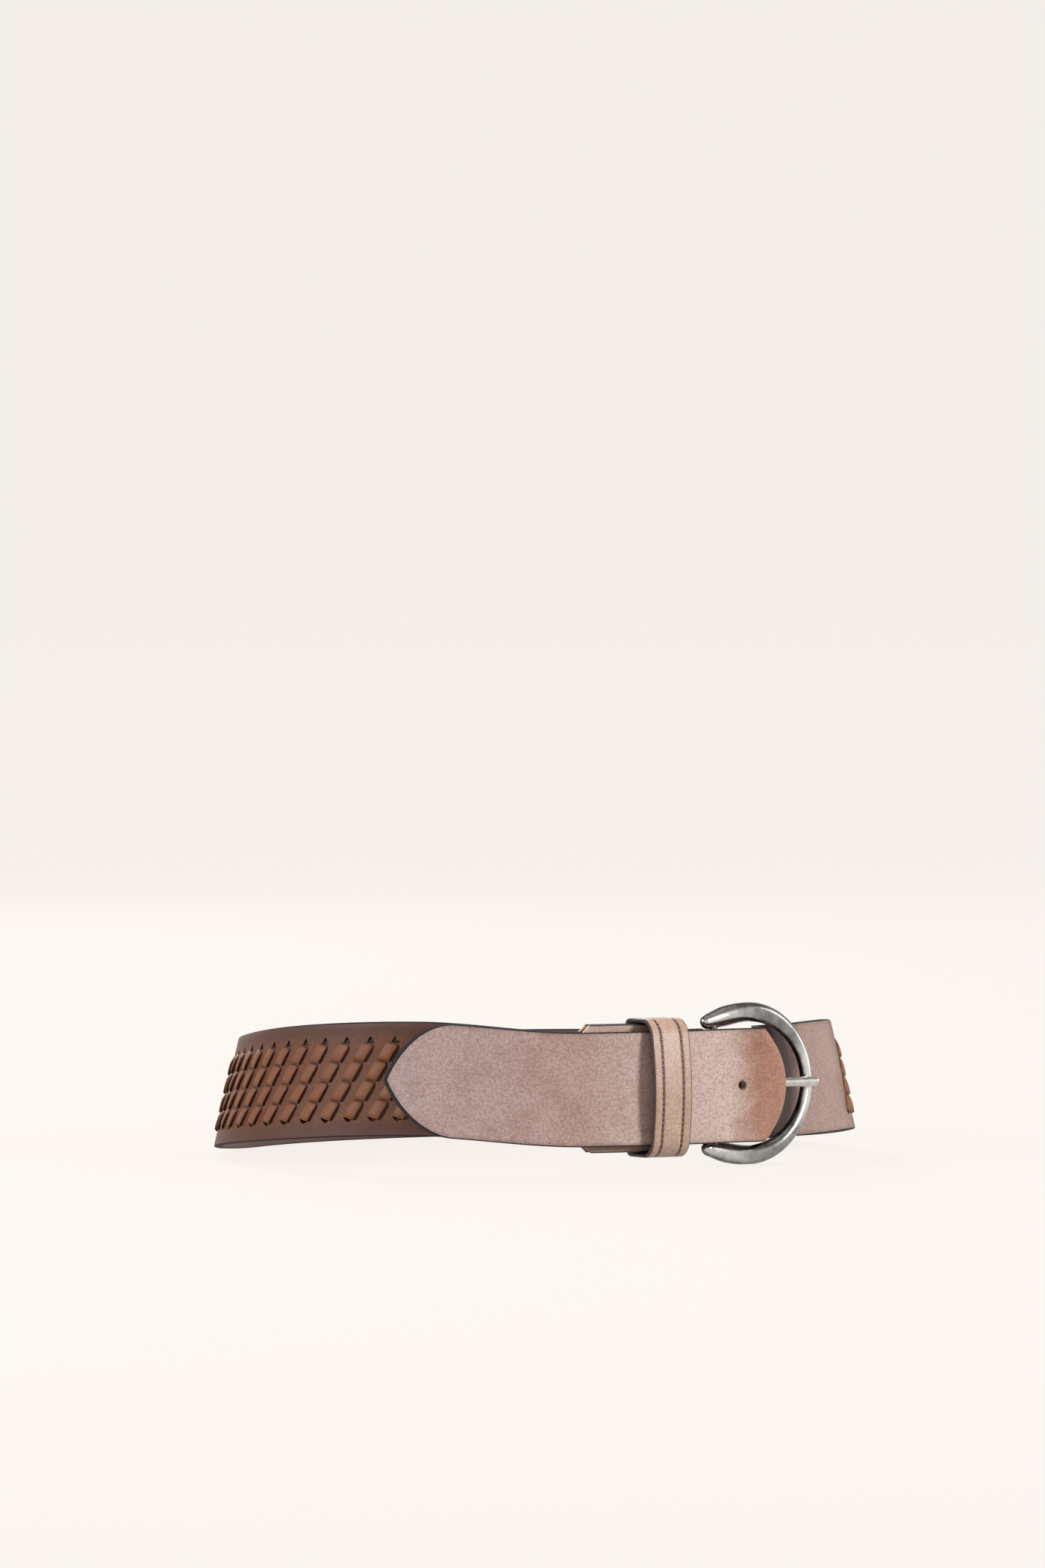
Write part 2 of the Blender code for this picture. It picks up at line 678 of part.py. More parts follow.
def make_keeper(material, thread, wire):
    """The keeper: a leather loop butted at its back and stapled there, with two rows of stitching."""
    inner = rounded_loop(KEEPER_HALF, KEEPER_BACK, KEEPER_FRONT, KEEPER_CORNER - KEEPER_THICK)
    outer = rounded_loop(
        KEEPER_HALF + KEEPER_THICK,
        KEEPER_BACK - KEEPER_THICK,
        KEEPER_FRONT + KEEPER_THICK,
        KEEPER_CORNER,
    )
    mesh = outline_solid([outer, inner], KEEPER_LENGTH)
    to_local = Matrix(((0, 0, 1), (1, 0, 0), (0, 1, 0))).to_4x4()
    mesh.transform(to_local)
    back_face = KEEPER_BACK - KEEPER_THICK
    reach = KEEPER_LENGTH
    butt = KEEPER_BUTT_GAP / 2
    cutters = [box((-reach, -butt, 2 * back_face), (reach, butt, KEEPER_BACK + KEEPER_THICK))]
    for side in (-1, 1):
        where = Matrix.Translation((0, side * STAPLE_SPAN / 2, back_face))
        cutters.append(cylinder(STAPLE_RADIUS + GAP, 3 * KEEPER_THICK, 10, where))
    mesh = cut(mesh, cutters)
    origin = set_down(mesh, KEEPER_AT, 0)
    add("keeper", mesh, PARTS, material).location = origin

    crown = back_face - GAP - STAPLE_RADIUS
    leg_end = KEEPER_BACK - 0.2 * MM
    path = [
        (0, -STAPLE_SPAN / 2, leg_end),
        (0, -STAPLE_SPAN / 2, crown),
        (0, STAPLE_SPAN / 2, crown),
        (0, STAPLE_SPAN / 2, leg_end),
    ]
    mesh = tube(path, [STAPLE_RADIUS] * len(path), 1)
    set_down(mesh, KEEPER_AT, 0)
    add("keeper_staple", mesh, PARTS, wire).location = origin

    away = GAP + STITCH_RADIUS
    around = rounded_loop(
        KEEPER_HALF + KEEPER_THICK + away,
        KEEPER_BACK - KEEPER_THICK - away,
        KEEPER_FRONT + KEEPER_THICK + away,
        KEEPER_CORNER + away,
    )
    front_run = around[: len(around) // 2]
    for number, side in ((1, -1), (2, 1)):
        across = side * (KEEPER_LENGTH / 2 - STITCH_INSET)
        path = [(across, up, out) for up, out in front_run]
        mesh = tube(path, [STITCH_RADIUS] * len(path), 1)
        set_down(mesh, KEEPER_AT, 0)
        add(f"keeper_stitching_{number}", mesh, PARTS, thread).location = origin


def bar_reach():
    """Half the bar's length: each end stops at the middle of a horn."""
    return FRAME_HEIGHT / 2 - FRAME_TOP_RADIUS - 0.68 * HORN_TUCK


def frame_centre_line():
    """Horseshoe centre line in (right, up), from the upper horn round the crossbar to the lower horn."""
    half = FRAME_HEIGHT / 2 - FRAME_TOP_RADIUS
    reach = FRAME_REACH - FRAME_SHOULDER
    points = [(-FRAME_HORN, half - HORN_TUCK), (0, bar_reach())]
    points.append((0.33 * FRAME_SHOULDER, half - 0.36 * HORN_TUCK))
    points.append((0.66 * FRAME_SHOULDER, half - 0.1 * HORN_TUCK))
    turns = 18
    for i in range(turns // 2 + 1):
        angle = math.radians(90 - 180 * i / turns)
        points.append((FRAME_SHOULDER + reach * math.cos(angle), half * math.sin(angle)))
    mirrored = [(x, -y) for x, y in reversed(points[:-1])]
    return points + mirrored


def frame_radii(count):
    """Thickness along the frame: blunt horns, full shoulders, a slimmer crossbar."""
    knots = (
        (0.0, HORN_END_RADIUS),
        (0.1, FRAME_SHOULDER_RADIUS),
        (0.18, FRAME_TOP_RADIUS),
        (0.5, FRAME_RADIUS),
        (0.82, FRAME_TOP_RADIUS),
        (0.9, FRAME_SHOULDER_RADIUS),
        (1.0, HORN_END_RADIUS),
    )
    return [smooth(knots, i / (count - 1)) for i in range(count)]


def about_bar(angle):
    """Turn about the bar, outwards for a positive angle, in local (right, up, out) axes."""
    return Matrix.Rotation(-angle, 4, "Y")


def prong_rise():
    """Angle at which the prong leaves the bar so that it rests on the crossbar."""
    return math.atan2(FRAME_FLATTEN * FRAME_RADIUS + GAP + PRONG_RADIUS, FRAME_REACH)


def prong_passage():
    """Way through the strap for the prong over its whole swing, with clearance, in world space."""
    length = FRAME_REACH + 2 * PRONG_OVERHANG
    lengthwise = Matrix.Translation((length / 2, 0, 0)) @ Matrix.Rotation(math.radians(90), 4, "Y")
    rod = cylinder(PRONG_RADIUS + GAP, length, 16, about_bar(prong_rise()) @ lengthwise)
    origin = set_down(rod, 0, BAR_OUT)
    up = local_axes(0)[1]
    lowest, highest = -FRAME_PLAY, PRONG_PLAY + FRAME_PLAY
    shape = bmesh.new()
    for angle in (lowest, (lowest + highest) / 2, highest):
        swing = Matrix.Rotation(angle, 3, -up)
        for v in rod.vertices:
            shape.verts.new(swing @ v.co)
    hull = bmesh.ops.convex_hull(shape, input=shape.verts)
    spare = {v for v in hull["geom_interior"] + hull["geom_unused"] if isinstance(v, bmesh.types.BMVert)}
    bmesh.ops.delete(shape, geom=list(spare), context="VERTS")
    bmesh.ops.recalc_face_normals(shape, faces=shape.faces)
    mesh = bpy.data.meshes.new("passage")
    shape.to_mesh(mesh)
    shape.free()
    mesh.transform(Matrix.Translation(origin))
    return mesh


def make_buckle(frame_metal, prong_metal):
    """Horseshoe frame, the bar pressed into its horns, and the prong that turns on the bar."""
    line = frame_centre_line()
    mesh = tube([(x, y, 0) for x, y in line], frame_radii(len(line)), 4)
    mesh.transform(Matrix.Scale(FRAME_FLATTEN, 4, (0, 0, 1)))
    upright = Matrix.Rotation(math.radians(90), 4, "X")
    mesh = cut(mesh, [cylinder(BAR_RADIUS + GAP, 2 * (bar_reach() + GAP), 20, upright)])
    origin = set_down(mesh, 0, BAR_OUT)
    frame = add("buckle_frame", mesh, PARTS, frame_metal)
    frame.location = origin

    mesh = cylinder(BAR_RADIUS, 2 * bar_reach(), 20, upright)
    set_down(mesh, 0, BAR_OUT)
    add("buckle_bar", mesh, PARTS, frame_metal).location = origin

    eye = BAR_RADIUS + GAP + PRONG_EYE_WALL
    lie = Matrix.Rotation(math.radians(90), 4, "Y")
    length = FRAME_REACH + PRONG_OVERHANG
    shank = cylinder(PRONG_RADIUS, length, 14, Matrix.Translation((length / 2, 0, 0)) @ lie)
    ring = cylinder(eye, 2 * PRONG_RADIUS, 20, upright)
    shank_obj = add("prong_work", shank, CUTTERS)
    union = shank_obj.modifiers.new("join", "BOOLEAN")
    union.operation = "UNION"
    union.object = cutter(ring, "cutter_ring")
    mesh = cut(solid_of(shank_obj), [cylinder(BAR_RADIUS + GAP, 20 * MM, 20, upright)])
    mesh.transform(about_bar(prong_rise()))
    set_down(mesh, 0, BAR_OUT)
    add("prong", mesh, PARTS, prong_metal).location = origin


clear_scene()
PARTS = new_collection("leather_belt")
CUTTERS = new_collection("cutters")

BROWN = leather("waxed_brown_leather", (0.27, 0.13, 0.08), 0.5)
RUSSET = leather("russet_lace_leather", (0.23, 0.10, 0.05), 0.5)
TAN = leather("tan_leather", (0.45, 0.22, 0.12), 0.5)
THREAD = leather("dark_thread", (0.06, 0.03, 0.03), 0.7)
NICKEL = surface("antique_nickel", (0.45, 0.44, 0.42), 0.3, 1.0)
STEEL = surface("bright_steel", (0.6, 0.6, 0.6), 0.25, 1.0)

make_strap(BROWN)
make_laces(RUSSET)
make_tab(TAN)
make_rivets(NICKEL)
make_keeper(TAN, THREAD, STEEL)
make_buckle(NICKEL, STEEL)

bpy.context.view_layer.update()
corners = []
for part in PARTS.objects:
    corners.extend(tuple(part.matrix_world @ v.co) for v in part.data.vertices)
corners = np.array(corners)
low, high = corners.min(axis=0), corners.max(axis=0)
shift = -Vector(((low[0] + high[0]) / 2, (low[1] + high[1]) / 2, low[2]))
for part in PARTS.objects:
    part.location += shift
    part.data.shade_smooth()
    part.data.set_sharp_from_angle(angle=math.radians(35))

print(f"waist {WAIST * 1000:.1f} mm, strap {STRAP_LENGTH * 1000:.1f} mm, {len(lace_places())} diagonals")
landmarks = (("bar", 0, BAR_OUT), ("keeper", KEEPER_AT, 0), ("rim", WAIST / 2, STRAP_ON_WAIST))
for label, along, out in landmarks:
    place = wrap_on_waist(along, 0, out) + shift
    axes = [[round(x, 6) for x in axis] for axis in local_axes(along)]
    print(label, [round(x, 6) for x in place], "right, up, out", axes)
print("shift", [round(x, 6) for x in shift])
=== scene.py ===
import json
import math

import bpy
import numpy as np
from mathutils import Matrix, Vector


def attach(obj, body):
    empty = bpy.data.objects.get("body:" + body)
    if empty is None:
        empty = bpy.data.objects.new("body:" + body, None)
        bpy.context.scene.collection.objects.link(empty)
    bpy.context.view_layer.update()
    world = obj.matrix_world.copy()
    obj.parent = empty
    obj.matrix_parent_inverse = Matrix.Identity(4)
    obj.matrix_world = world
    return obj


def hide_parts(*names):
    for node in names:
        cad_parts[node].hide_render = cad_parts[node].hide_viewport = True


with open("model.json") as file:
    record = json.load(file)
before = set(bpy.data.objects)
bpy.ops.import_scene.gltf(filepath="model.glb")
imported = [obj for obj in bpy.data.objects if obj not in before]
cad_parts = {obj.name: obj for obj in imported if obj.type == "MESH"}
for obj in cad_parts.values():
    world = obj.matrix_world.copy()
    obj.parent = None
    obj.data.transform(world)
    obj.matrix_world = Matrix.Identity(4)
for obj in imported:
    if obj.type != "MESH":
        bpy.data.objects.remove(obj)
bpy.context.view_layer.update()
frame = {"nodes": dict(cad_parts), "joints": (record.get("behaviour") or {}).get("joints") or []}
mm = 0.001

# The waist that the closed belt follows: the same oval, lean and layers as the solids
waist = dict(long=259 * mm, short=219 * mm, turn=math.radians(48), barAngle=math.radians(98.5),
             frontLean=math.radians(1), sideLean=math.radians(13), points=2881)
stack = dict(gap=0.3 * mm, strapThick=3.4 * mm, tabThick=2.0 * mm, rivetHead=0.7 * mm, lift=0.8 * mm,
             laceThick=1.1 * mm, laceBulge=0.8 * mm, frontRise=4.0 * mm)
strapSize = dict(width=45 * mm, tipLength=28 * mm, tipReach=133 * mm, tipFullness=0.8, rimRadius=0.75 * mm,
                 slice=3 * mm, bendSlice=1 * mm, rowSlice=2.5 * mm, bendLength=14 * mm, bendGap=4 * mm,
                 bendBow=12 * mm, bendRise=3.2 * mm, bendMargin=6 * mm, settle=25 * mm, fromBar=2 * mm,
                 holeRadius=2.0 * mm, holeSpacing=31 * mm, holeCount=3, usedHole=2)
laceSize = dict(pitch=10.5 * mm, rows=4, rowHeight=7.7 * mm, rowShift=5.0 * mm, width=5.0 * mm,
                thick=1.15 * mm, fromTab=39.4 * mm, fromLastHole=70.5 * mm, lengths=4, tilt=0.6 * mm,
                bed=0.1 * mm, sink=1.0 * mm, neck=1.2 * mm, neckWidth=0.82, turnWidth=0.85, slitWidth=0.88,
                backSlack=0.15 * mm)
tabSize = dict(length=60.4 * mm, width=50.4 * mm, neckWidth=43 * mm, neckLength=21 * mm, chamfer=4.5 * mm,
               taper=2.5 * mm, slotWidth=7.4 * mm, slotLength=11 * mm, rimRadius=0.55 * mm, slice=3 * mm,
               foldSlice=0.8 * mm)
keeperSize = dict(at=28.6 * mm, length=17 * mm, thick=1.6 * mm, slack=3.2 * mm, corner=3.4 * mm,
                  bulge=3.4 * mm, shoulder=5.2 * mm, flatten=1.6 * mm, sidePlay=0.2 * mm, backPlay=1.0 * mm,
                  butt=0.3 * mm, rowInset=4.0 * mm, grooveDepth=0.4 * mm, grooveHalf=0.75 * mm,
                  grooveReach=(0.14, 0.86), rimRadius=0.5 * mm, slice=1.1 * mm, rowSlice=1.5 * mm)
buckleSize = dict(reach=46 * mm, height=64.4 * mm, sits=63.4 * mm, horn=6.0 * mm, shoulder=18 * mm,
                  radius=3.1 * mm, crossRadius=2.5 * mm, crossShift=3.0 * mm, topRadius=3.8 * mm,
                  shoulderRadius=4.0 * mm, hornEndRadius=2.8 * mm, hornTuck=3.9 * mm, flatten=0.84,
                  barRadius=1.75 * mm, linePoints=400, endPoints=12, smoothing=60)
prongSize = dict(radius=2.0 * mm, eyeWall=1.7 * mm, overhang=4.6 * mm, play=math.radians(3),
                 framePlay=math.radians(1.5), tipRound=1.3 * mm, eyeRound=0.7 * mm, boreDepth=20 * mm)
sideways = (math.radians(90), 0, 0)  # turn of a cylinder that lies along the bar


def runLengths(points):  # how far along a line of points each one lies
    return np.concatenate(([0.0], np.cumsum(np.linalg.norm(np.diff(points, axis=0), axis=1))))


def readLine(place, lengths, points):  # the point at a distance along a line of points
    return np.stack([np.interp(place, lengths, points[:, k]) for k in (0, 1)], axis=-1)


def outwards(forward):  # unit normal on the outer side of a line that runs forward
    forward = forward / np.linalg.norm(forward, axis=-1, keepdims=True)
    return np.stack((-forward[..., 1], forward[..., 0]), axis=-1)


turnCos, turnSin = math.cos(waist["turn"]), math.sin(waist["turn"])
sweep = waist["barAngle"] + np.linspace(0, 2 * math.pi, waist["points"])
longPart = waist["long"] / 2 * np.cos(sweep)
shortPart = waist["short"] / 2 * np.sin(sweep)
waistPoints = np.stack((longPart * turnCos + shortPart * turnSin,
                        longPart * turnSin - shortPart * turnCos), axis=1)
waistLengths = runLengths(waistPoints)
girth = float(waistLengths[-1])


def onWaist(along):  # point and outward normal of the waist, for an array of distances from the bar
    along = np.asarray(along, float)
    step = girth / 1440

    def read(place):
        return readLine(np.mod(place, girth), waistLengths, waistPoints)

    return read(along), outwards(read(along + step) - read(along - step))


def ease(knots, value):  # eases from knot to knot, where a knot's place may be an array
    value = np.asarray(value, float)
    result = np.full(value.shape, float(knots[0][1]))
    for (start, low), (end, high) in zip(knots, knots[1:]):
        share = np.clip((value - start) / (end - start), 0, 1)
        result = np.where(value > start, low + (high - low) * share * share * (3 - 2 * share), result)
    return result


strapInTab = stack["tabThick"] + stack["gap"] + stack["strapThick"] / 2
frontPly = strapInTab + stack["strapThick"] / 2 + stack["gap"]
tabOutside = frontPly + stack["tabThick"]
barOut = tabOutside / 2
billetOnTab = tabOutside + stack["rivetHead"] + 2 * stack["gap"] + stack["lift"] + stack["strapThick"] / 2
laceLayer = stack["gap"] + stack["laceThick"]
strapOnWaist = laceLayer + stack["strapThick"] / 2
tipOut = strapOnWaist + stack["strapThick"] + laceLayer + stack["laceBulge"] + 2 * stack["gap"]
diveStart = buckleSize["reach"] - buckleSize["radius"] - strapSize["bendGap"]
diveEnd = diveStart - strapSize["bendLength"]
strapStart = barOut + strapSize["fromBar"]
flatHeight = strapSize["width"] / 2 * math.cos(waist["sideLean"])
buckleHeight = buckleSize["sits"] / 2 * math.cos(waist["frontLean"]) + stack["gap"]


def strapOut(along, across):  # how far the strap's middle layer lies outside the waist
    bow = strapSize["bendBow"] * (2 * np.asarray(across, float) / strapSize["width"]) ** 2
    reach, tab = buckleSize["reach"], tabSize["length"]
    inside, lifted = stack["strapThick"] / 2, billetOnTab + strapSize["bendRise"]
    return ease([(tab, strapInTab), (tab + strapSize["settle"], strapOnWaist),
                 (girth - 2 * reach, strapOnWaist), (girth - 1.4 * reach, inside),
                 (girth - diveStart + bow, inside), (girth - diveEnd + bow, lifted), (girth, billetOnTab),
                 (girth + tab, billetOnTab), (girth + strapSize["tipReach"], tipOut)], along)


def middleHeight(along):  # the back lies on the floor and the buckle props the front
    tab, reach = tabSize["length"], buckleSize["reach"]
    return ease([(0, buckleHeight), (tab, buckleHeight), (2 * tab, buckleHeight + stack["frontRise"]),
                 (0.42 * girth, flatHeight), (0.7 * girth, flatHeight), (girth - 1.9 * reach, buckleHeight)],
                np.mod(along, girth))


def leanAt(along):  # hardly any lean at the front, more at the sides and the back
    reach, front, side = buckleSize["reach"], waist["frontLean"], waist["sideLean"]
    return ease([(strapSize["tipReach"], front), (0.31 * girth, side), (girth - 2.2 * reach, side),
                 (girth - 1.05 * reach, front)], np.mod(along, girth))


def stand(plan, along, across):  # from its plan to a place on a wall that leans in towards its top
    across, lean = np.asarray(across, float), leanAt(along)
    moved = plan - onWaist(along)[1] * (across * np.sin(lean))[..., None]
    return np.concatenate((moved, (middleHeight(along) + across * np.cos(lean))[..., None]), axis=-1)


def strapPlan(along, across):
    plan, normal = onWaist(along)
    return plan + normal * strapOut(along, across)[..., None]


def wrapOnWaist(along, across, out):
    plan, normal = onWaist(along)
    return stand(plan + normal * np.asarray(out, float)[..., None], along, across) + beltShift


traceAlong = np.linspace(strapStart, girth + strapSize["tipReach"], 1800)
tracePoints = strapPlan(traceAlong, np.zeros(len(traceAlong)))
traceLength = runLengths(tracePoints)
strapLength = float(traceLength[-1])


def wrapOnStrap(length, across, out):  # out is measured from the strap's middle layer
    along = np.interp(length, traceLength, traceAlong)
    step = 0.5 * mm
    normal = outwards(strapPlan(along + step, across) - strapPlan(along - step, across))
    point = strapPlan(along, across) + normal * np.asarray(out, float)[..., None]
    return stand(point, along, across) + beltShift


def strapLengthAt(along):
    return float(np.interp(along, traceAlong, traceLength))


# The solids were centred on the floor: the bar's joint says by how much
barJoint = next(joint for joint in frame["joints"] if joint["name"] == "prong_pivot")
beltShift = np.zeros(3)
beltShift = np.array(barJoint["pos_m"]) - wrapOnWaist(np.array([0.0]), np.array([0.0]), np.array([barOut]))[0]


def localAxes(along):  # right towards the crossbar, up the strap, outwards
    _, normal = onWaist(np.array([along]))
    out = Vector((normal[0][0], normal[0][1], 0))
    right = Vector((0, 0, 1)).cross(-out).normalized() * -1
    lean = float(leanAt(along))
    up = math.cos(lean) * Vector((0, 0, 1)) - math.sin(lean) * out
    return right, up, out


def placeLocal(points, along, out):  # local (right, up, out) points to the belt's place
    right, up, outward = localAxes(along)
    origin = wrapOnWaist(np.array([along]), np.array([0.0]), np.array([out]))[0]
    return np.asarray(points) @ np.array([right, up, outward]) + origin


print("waist %.1f mm, strap %.1f mm" % (girth / mm, strapLength / mm))


def enter(mode):
    bpy.ops.object.mode_set(mode=mode)


def freshStart():
    if bpy.context.object and bpy.context.object.mode != "OBJECT":
        enter("OBJECT")
    bpy.ops.object.select_all(action="DESELECT")


def pick(obj):
    freshStart()
    obj.select_set(True)
    bpy.context.view_layer.objects.active = obj


def applyModifier(obj, kind, **settings):
    pick(obj)
    modifier = obj.modifiers.new(kind.lower(), kind)
    for name, value in settings.items():
        setattr(modifier, name, value)
    bpy.ops.object.modifier_apply(modifier=modifier.name)


def combine(obj, operation, tool):  # cuts or joins with a helper, which then goes
    applyModifier(obj, "BOOLEAN", operation=operation, object=tool, solver="EXACT")
    bpy.data.objects.remove(tool, do_unlink=True)


def editAll(obj, *steps):  # the steps in edit mode, on the whole mesh
    pick(obj)
    enter("EDIT")
    bpy.ops.mesh.select_all(action="SELECT")
    for step in steps:
        step()
    enter("OBJECT")


def faceOutwards():
    bpy.ops.mesh.normals_make_consistent(inside=False)


def weld(obj, distance=1e-6):
    editAll(obj, lambda: bpy.ops.mesh.remove_doubles(threshold=distance), faceOutwards)


def smooth(obj, angle):
    pick(obj)
    bpy.ops.object.shade_smooth_by_angle(angle=math.radians(angle))


def addObject(name, data):
    obj = bpy.data.objects.new(name, data)
    bpy.context.scene.collection.objects.link(obj)
    return obj


def meshFromCurve(name, curve, distance):
    obj = addObject(name, curve)
    pick(obj)
    bpy.ops.object.convert(target="MESH")
    weld(obj, distance)
    return obj


def cylinder(sides, radius, depth, turn, place=(0, 0, 0)):
    freshStart()
    bpy.ops.mesh.primitive_cylinder_add(vertices=sides, radius=radius, depth=depth, location=place,
                                        rotation=turn)
    bpy.ops.object.transform_apply(location=True, rotation=True, scale=True)
    return bpy.context.object


def flatSolid(name, outlines, thick, rimRadius):  # flat outline with rounded rims, lying in X and Y
    curve = bpy.data.curves.new(name, "CURVE")
    curve.dimensions = "2D"
    curve.fill_mode = "BOTH"
    curve.extrude = thick / 2 - rimRadius
    curve.bevel_depth = rimRadius
    curve.bevel_resolution = 2
    curve.offset = -rimRadius
    for outline in outlines:
        spline = curve.splines.new("POLY")
        spline.points.add(len(outline) - 1)
        for point, place in zip(spline.points, outline):
            point.co = (place[0], place[1], 0, 1)
        spline.use_cyclic_u = True
    return meshFromCurve(name, curve, 2e-6)


def sliceAcross(obj, places, normal=(1, 0, 0)):  # new edges straight across a flat piece, so that it can bend
    pick(obj)
    enter("EDIT")
    for place in places:
        bpy.ops.mesh.select_all(action="SELECT")
        co = [place * n for n in normal]
        bpy.ops.mesh.bisect(plane_co=co, plane_no=normal, threshold=1e-7)
    enter("OBJECT")


def evenly(low, high, step):
    count = max(1, math.ceil((high - low) / step))
    return [low + (high - low) * i / count for i in range(1, count)]


def meshPoints(obj):
    points = np.empty(len(obj.data.vertices) * 3, np.float32)
    obj.data.vertices.foreach_get("co", points)
    return points.reshape(-1, 3).astype(float)


def keepFlat(mesh, flat):  # every point's flat place in mm, for the material
    layer = mesh.attributes.new("flat", "FLOAT_VECTOR", "POINT")
    layer.data.foreach_set("vector", (np.asarray(flat) / mm).astype(np.float32).ravel())


def movePoints(obj, points, flat=None):
    obj.data.vertices.foreach_set("co", np.asarray(points, np.float32).ravel())
    if flat is not None:
        keepFlat(obj.data, flat)
    obj.data.update()


def finishFaces(obj, turnedOver, angle=35):
    steps = [bpy.ops.mesh.quads_convert_to_tris]
    if turnedOver:
        steps.append(bpy.ops.mesh.flip_normals)
    editAll(obj, *steps)
    smooth(obj, angle)


def pieceFrom(name, points, faces, flat=None):
    mesh = bpy.data.meshes.new(name)
    mesh.from_pydata([tuple(p) for p in points], [], faces)
    obj = addObject(name, mesh)
    if flat is not None:
        keepFlat(mesh, flat)
    return obj


def cover(obj, material):
    obj.data.materials.clear()
    obj.data.materials.append(material)


def give(obj, material, body, slot, *nodes):
    cover(obj, material)
    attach(obj, body)
    if nodes:
        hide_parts(*nodes)


def plug(tree, value, socket):  # a link or a plain value into an input
    if isinstance(value, Wire):
        tree.links.new(value.socket, socket)
    else:
        socket.default_value = (*value, 1) if socket.type == "RGBA" else value


class Wire:  # one socket of a material, for maths written as expressions
    def __init__(self, tree, socket):
        self.tree, self.socket = tree, socket

    def math(self, operation, first, second=0.0, clamp=False):
        node = self.tree.nodes.new("ShaderNodeMath")
        node.operation = operation
        node.use_clamp = clamp
        for i, value in enumerate((first, second)):
            plug(self.tree, value, node.inputs[i])
        return Wire(self.tree, node.outputs[0])

    def __add__(self, other):
        return self.math("ADD", self, other)

    __radd__ = __add__

    def __sub__(self, other):
        return self.math("SUBTRACT", self, other)

    def __rsub__(self, other):
        return self.math("SUBTRACT", other, self)

    def __mul__(self, other):
        return self.math("MULTIPLY", self, other)

    __rmul__ = __mul__

    def __truediv__(self, other):
        return self.math("DIVIDE", self, other)

    def __rtruediv__(self, other):
        return self.math("DIVIDE", other, self)

    def __pow__(self, other):
        return self.math("POWER", self, other)

    def __abs__(self):
        return self.math("ABSOLUTE", self)

    def most(self, other):
        return self.math("MINIMUM", self, other)

    def least(self, other):
        return self.math("MAXIMUM", self, other)

    def held(self):  # kept between 0 and 1
        return self.math("ADD", self, 0.0, clamp=True)

    def rise(self, low, high):  # 0 below low, 1 above high, eased between
        share = ((self - low) / (high - low)).held()
        return share * share * (3 - 2 * share)


class Finish:  # a material and the nodes in it
    def __init__(self, name):
        self.material = bpy.data.materials.new(name)
        self.material.use_nodes = True
        self.tree = self.material.node_tree
        self.shader = self.tree.nodes["Principled BSDF"]

    def node(self, kind, settings, inputs, output=0):
        made = self.tree.nodes.new(kind)
        for name, value in settings.items():
            if name == "stops":
                stops = made.color_ramp.elements
                while len(stops) > 1:
                    stops.remove(stops[-1])
                for i, (place, colour) in enumerate(value):
                    stop = stops[0] if i == 0 else stops.new(place)
                    stop.position = place
                    stop.color = (*colour, 1)
            else:
                setattr(made, name, value)
        for name, value in inputs.items():
            plug(self.tree, value, made.inputs[name])
        return Wire(self.tree, made.outputs[output])

    def flat(self):  # flat place on the leather, in mm
        return self.node("ShaderNodeAttribute", dict(attribute_name="flat"), {}, "Vector")

    def solid(self):  # place in the piece itself, in mm
        place = self.node("ShaderNodeTexCoord", {}, {}, "Object")
        return self.node("ShaderNodeVectorMath", dict(operation="SCALE"), dict(Vector=place, Scale=1 / mm))

    def part(self, vector, axis):
        return self.node("ShaderNodeSeparateXYZ", {}, dict(Vector=vector), axis)

    def noise(self, vector, scale, detail=3.0, roughness=0.55, distortion=0.0):
        values = dict(Vector=vector, Scale=scale, Detail=detail, Roughness=roughness, Distortion=distortion)
        return self.node("ShaderNodeTexNoise", {}, values, "Fac")

    def cells(self, vector, scale):
        values = dict(Vector=vector, Scale=scale, Randomness=1.0)
        return self.node("ShaderNodeTexVoronoi", dict(feature="F1"), values, "Distance")

    def blend(self, factor, first, second, kind="MIX"):  # inputs 6 and 7 of a Mix node are its colours
        settings = dict(data_type="RGBA", blend_type=kind)
        return self.node("ShaderNodeMix", settings, {0: factor, 6: first, 7: second}, 2)

    def bump(self, height, strength, distance):
        values = dict(Height=height, Strength=strength, Distance=distance)
        return self.node("ShaderNodeBump", {}, values, "Normal")

    def feed(self, **inputs):
        names = dict(colour="Base Color", roughness="Roughness", metallic="Metallic", normal="Normal",
                     level="Specular IOR Level", glowColour="Emission Color", glow="Emission Strength")
        for name, value in inputs.items():
            plug(self.tree, value, self.shader.inputs[names[name]])
        return self.material


def tone(red, green, blue):  # sRGB 0-255 to the linear values that a shader takes
    def line(value):
        value /= 255
        return value / 12.92 if value <= 0.04045 else ((value + 0.055) / 1.055) ** 2.4
    return (line(red), line(green), line(blue))


def leatherGrain(finish, place):  # pores, creases, cloudy colour and specks, all in mm
    pores = finish.cells(place, 1.3)
    fine = finish.noise(place, 2.2, 4.0, 0.65)
    cloud = finish.noise(place, 0.065, 4.0, 0.55, 0.8)
    speckle = finish.noise(place, 1.0, 3.0, 0.65)
    return pores, fine, cloud, speckle


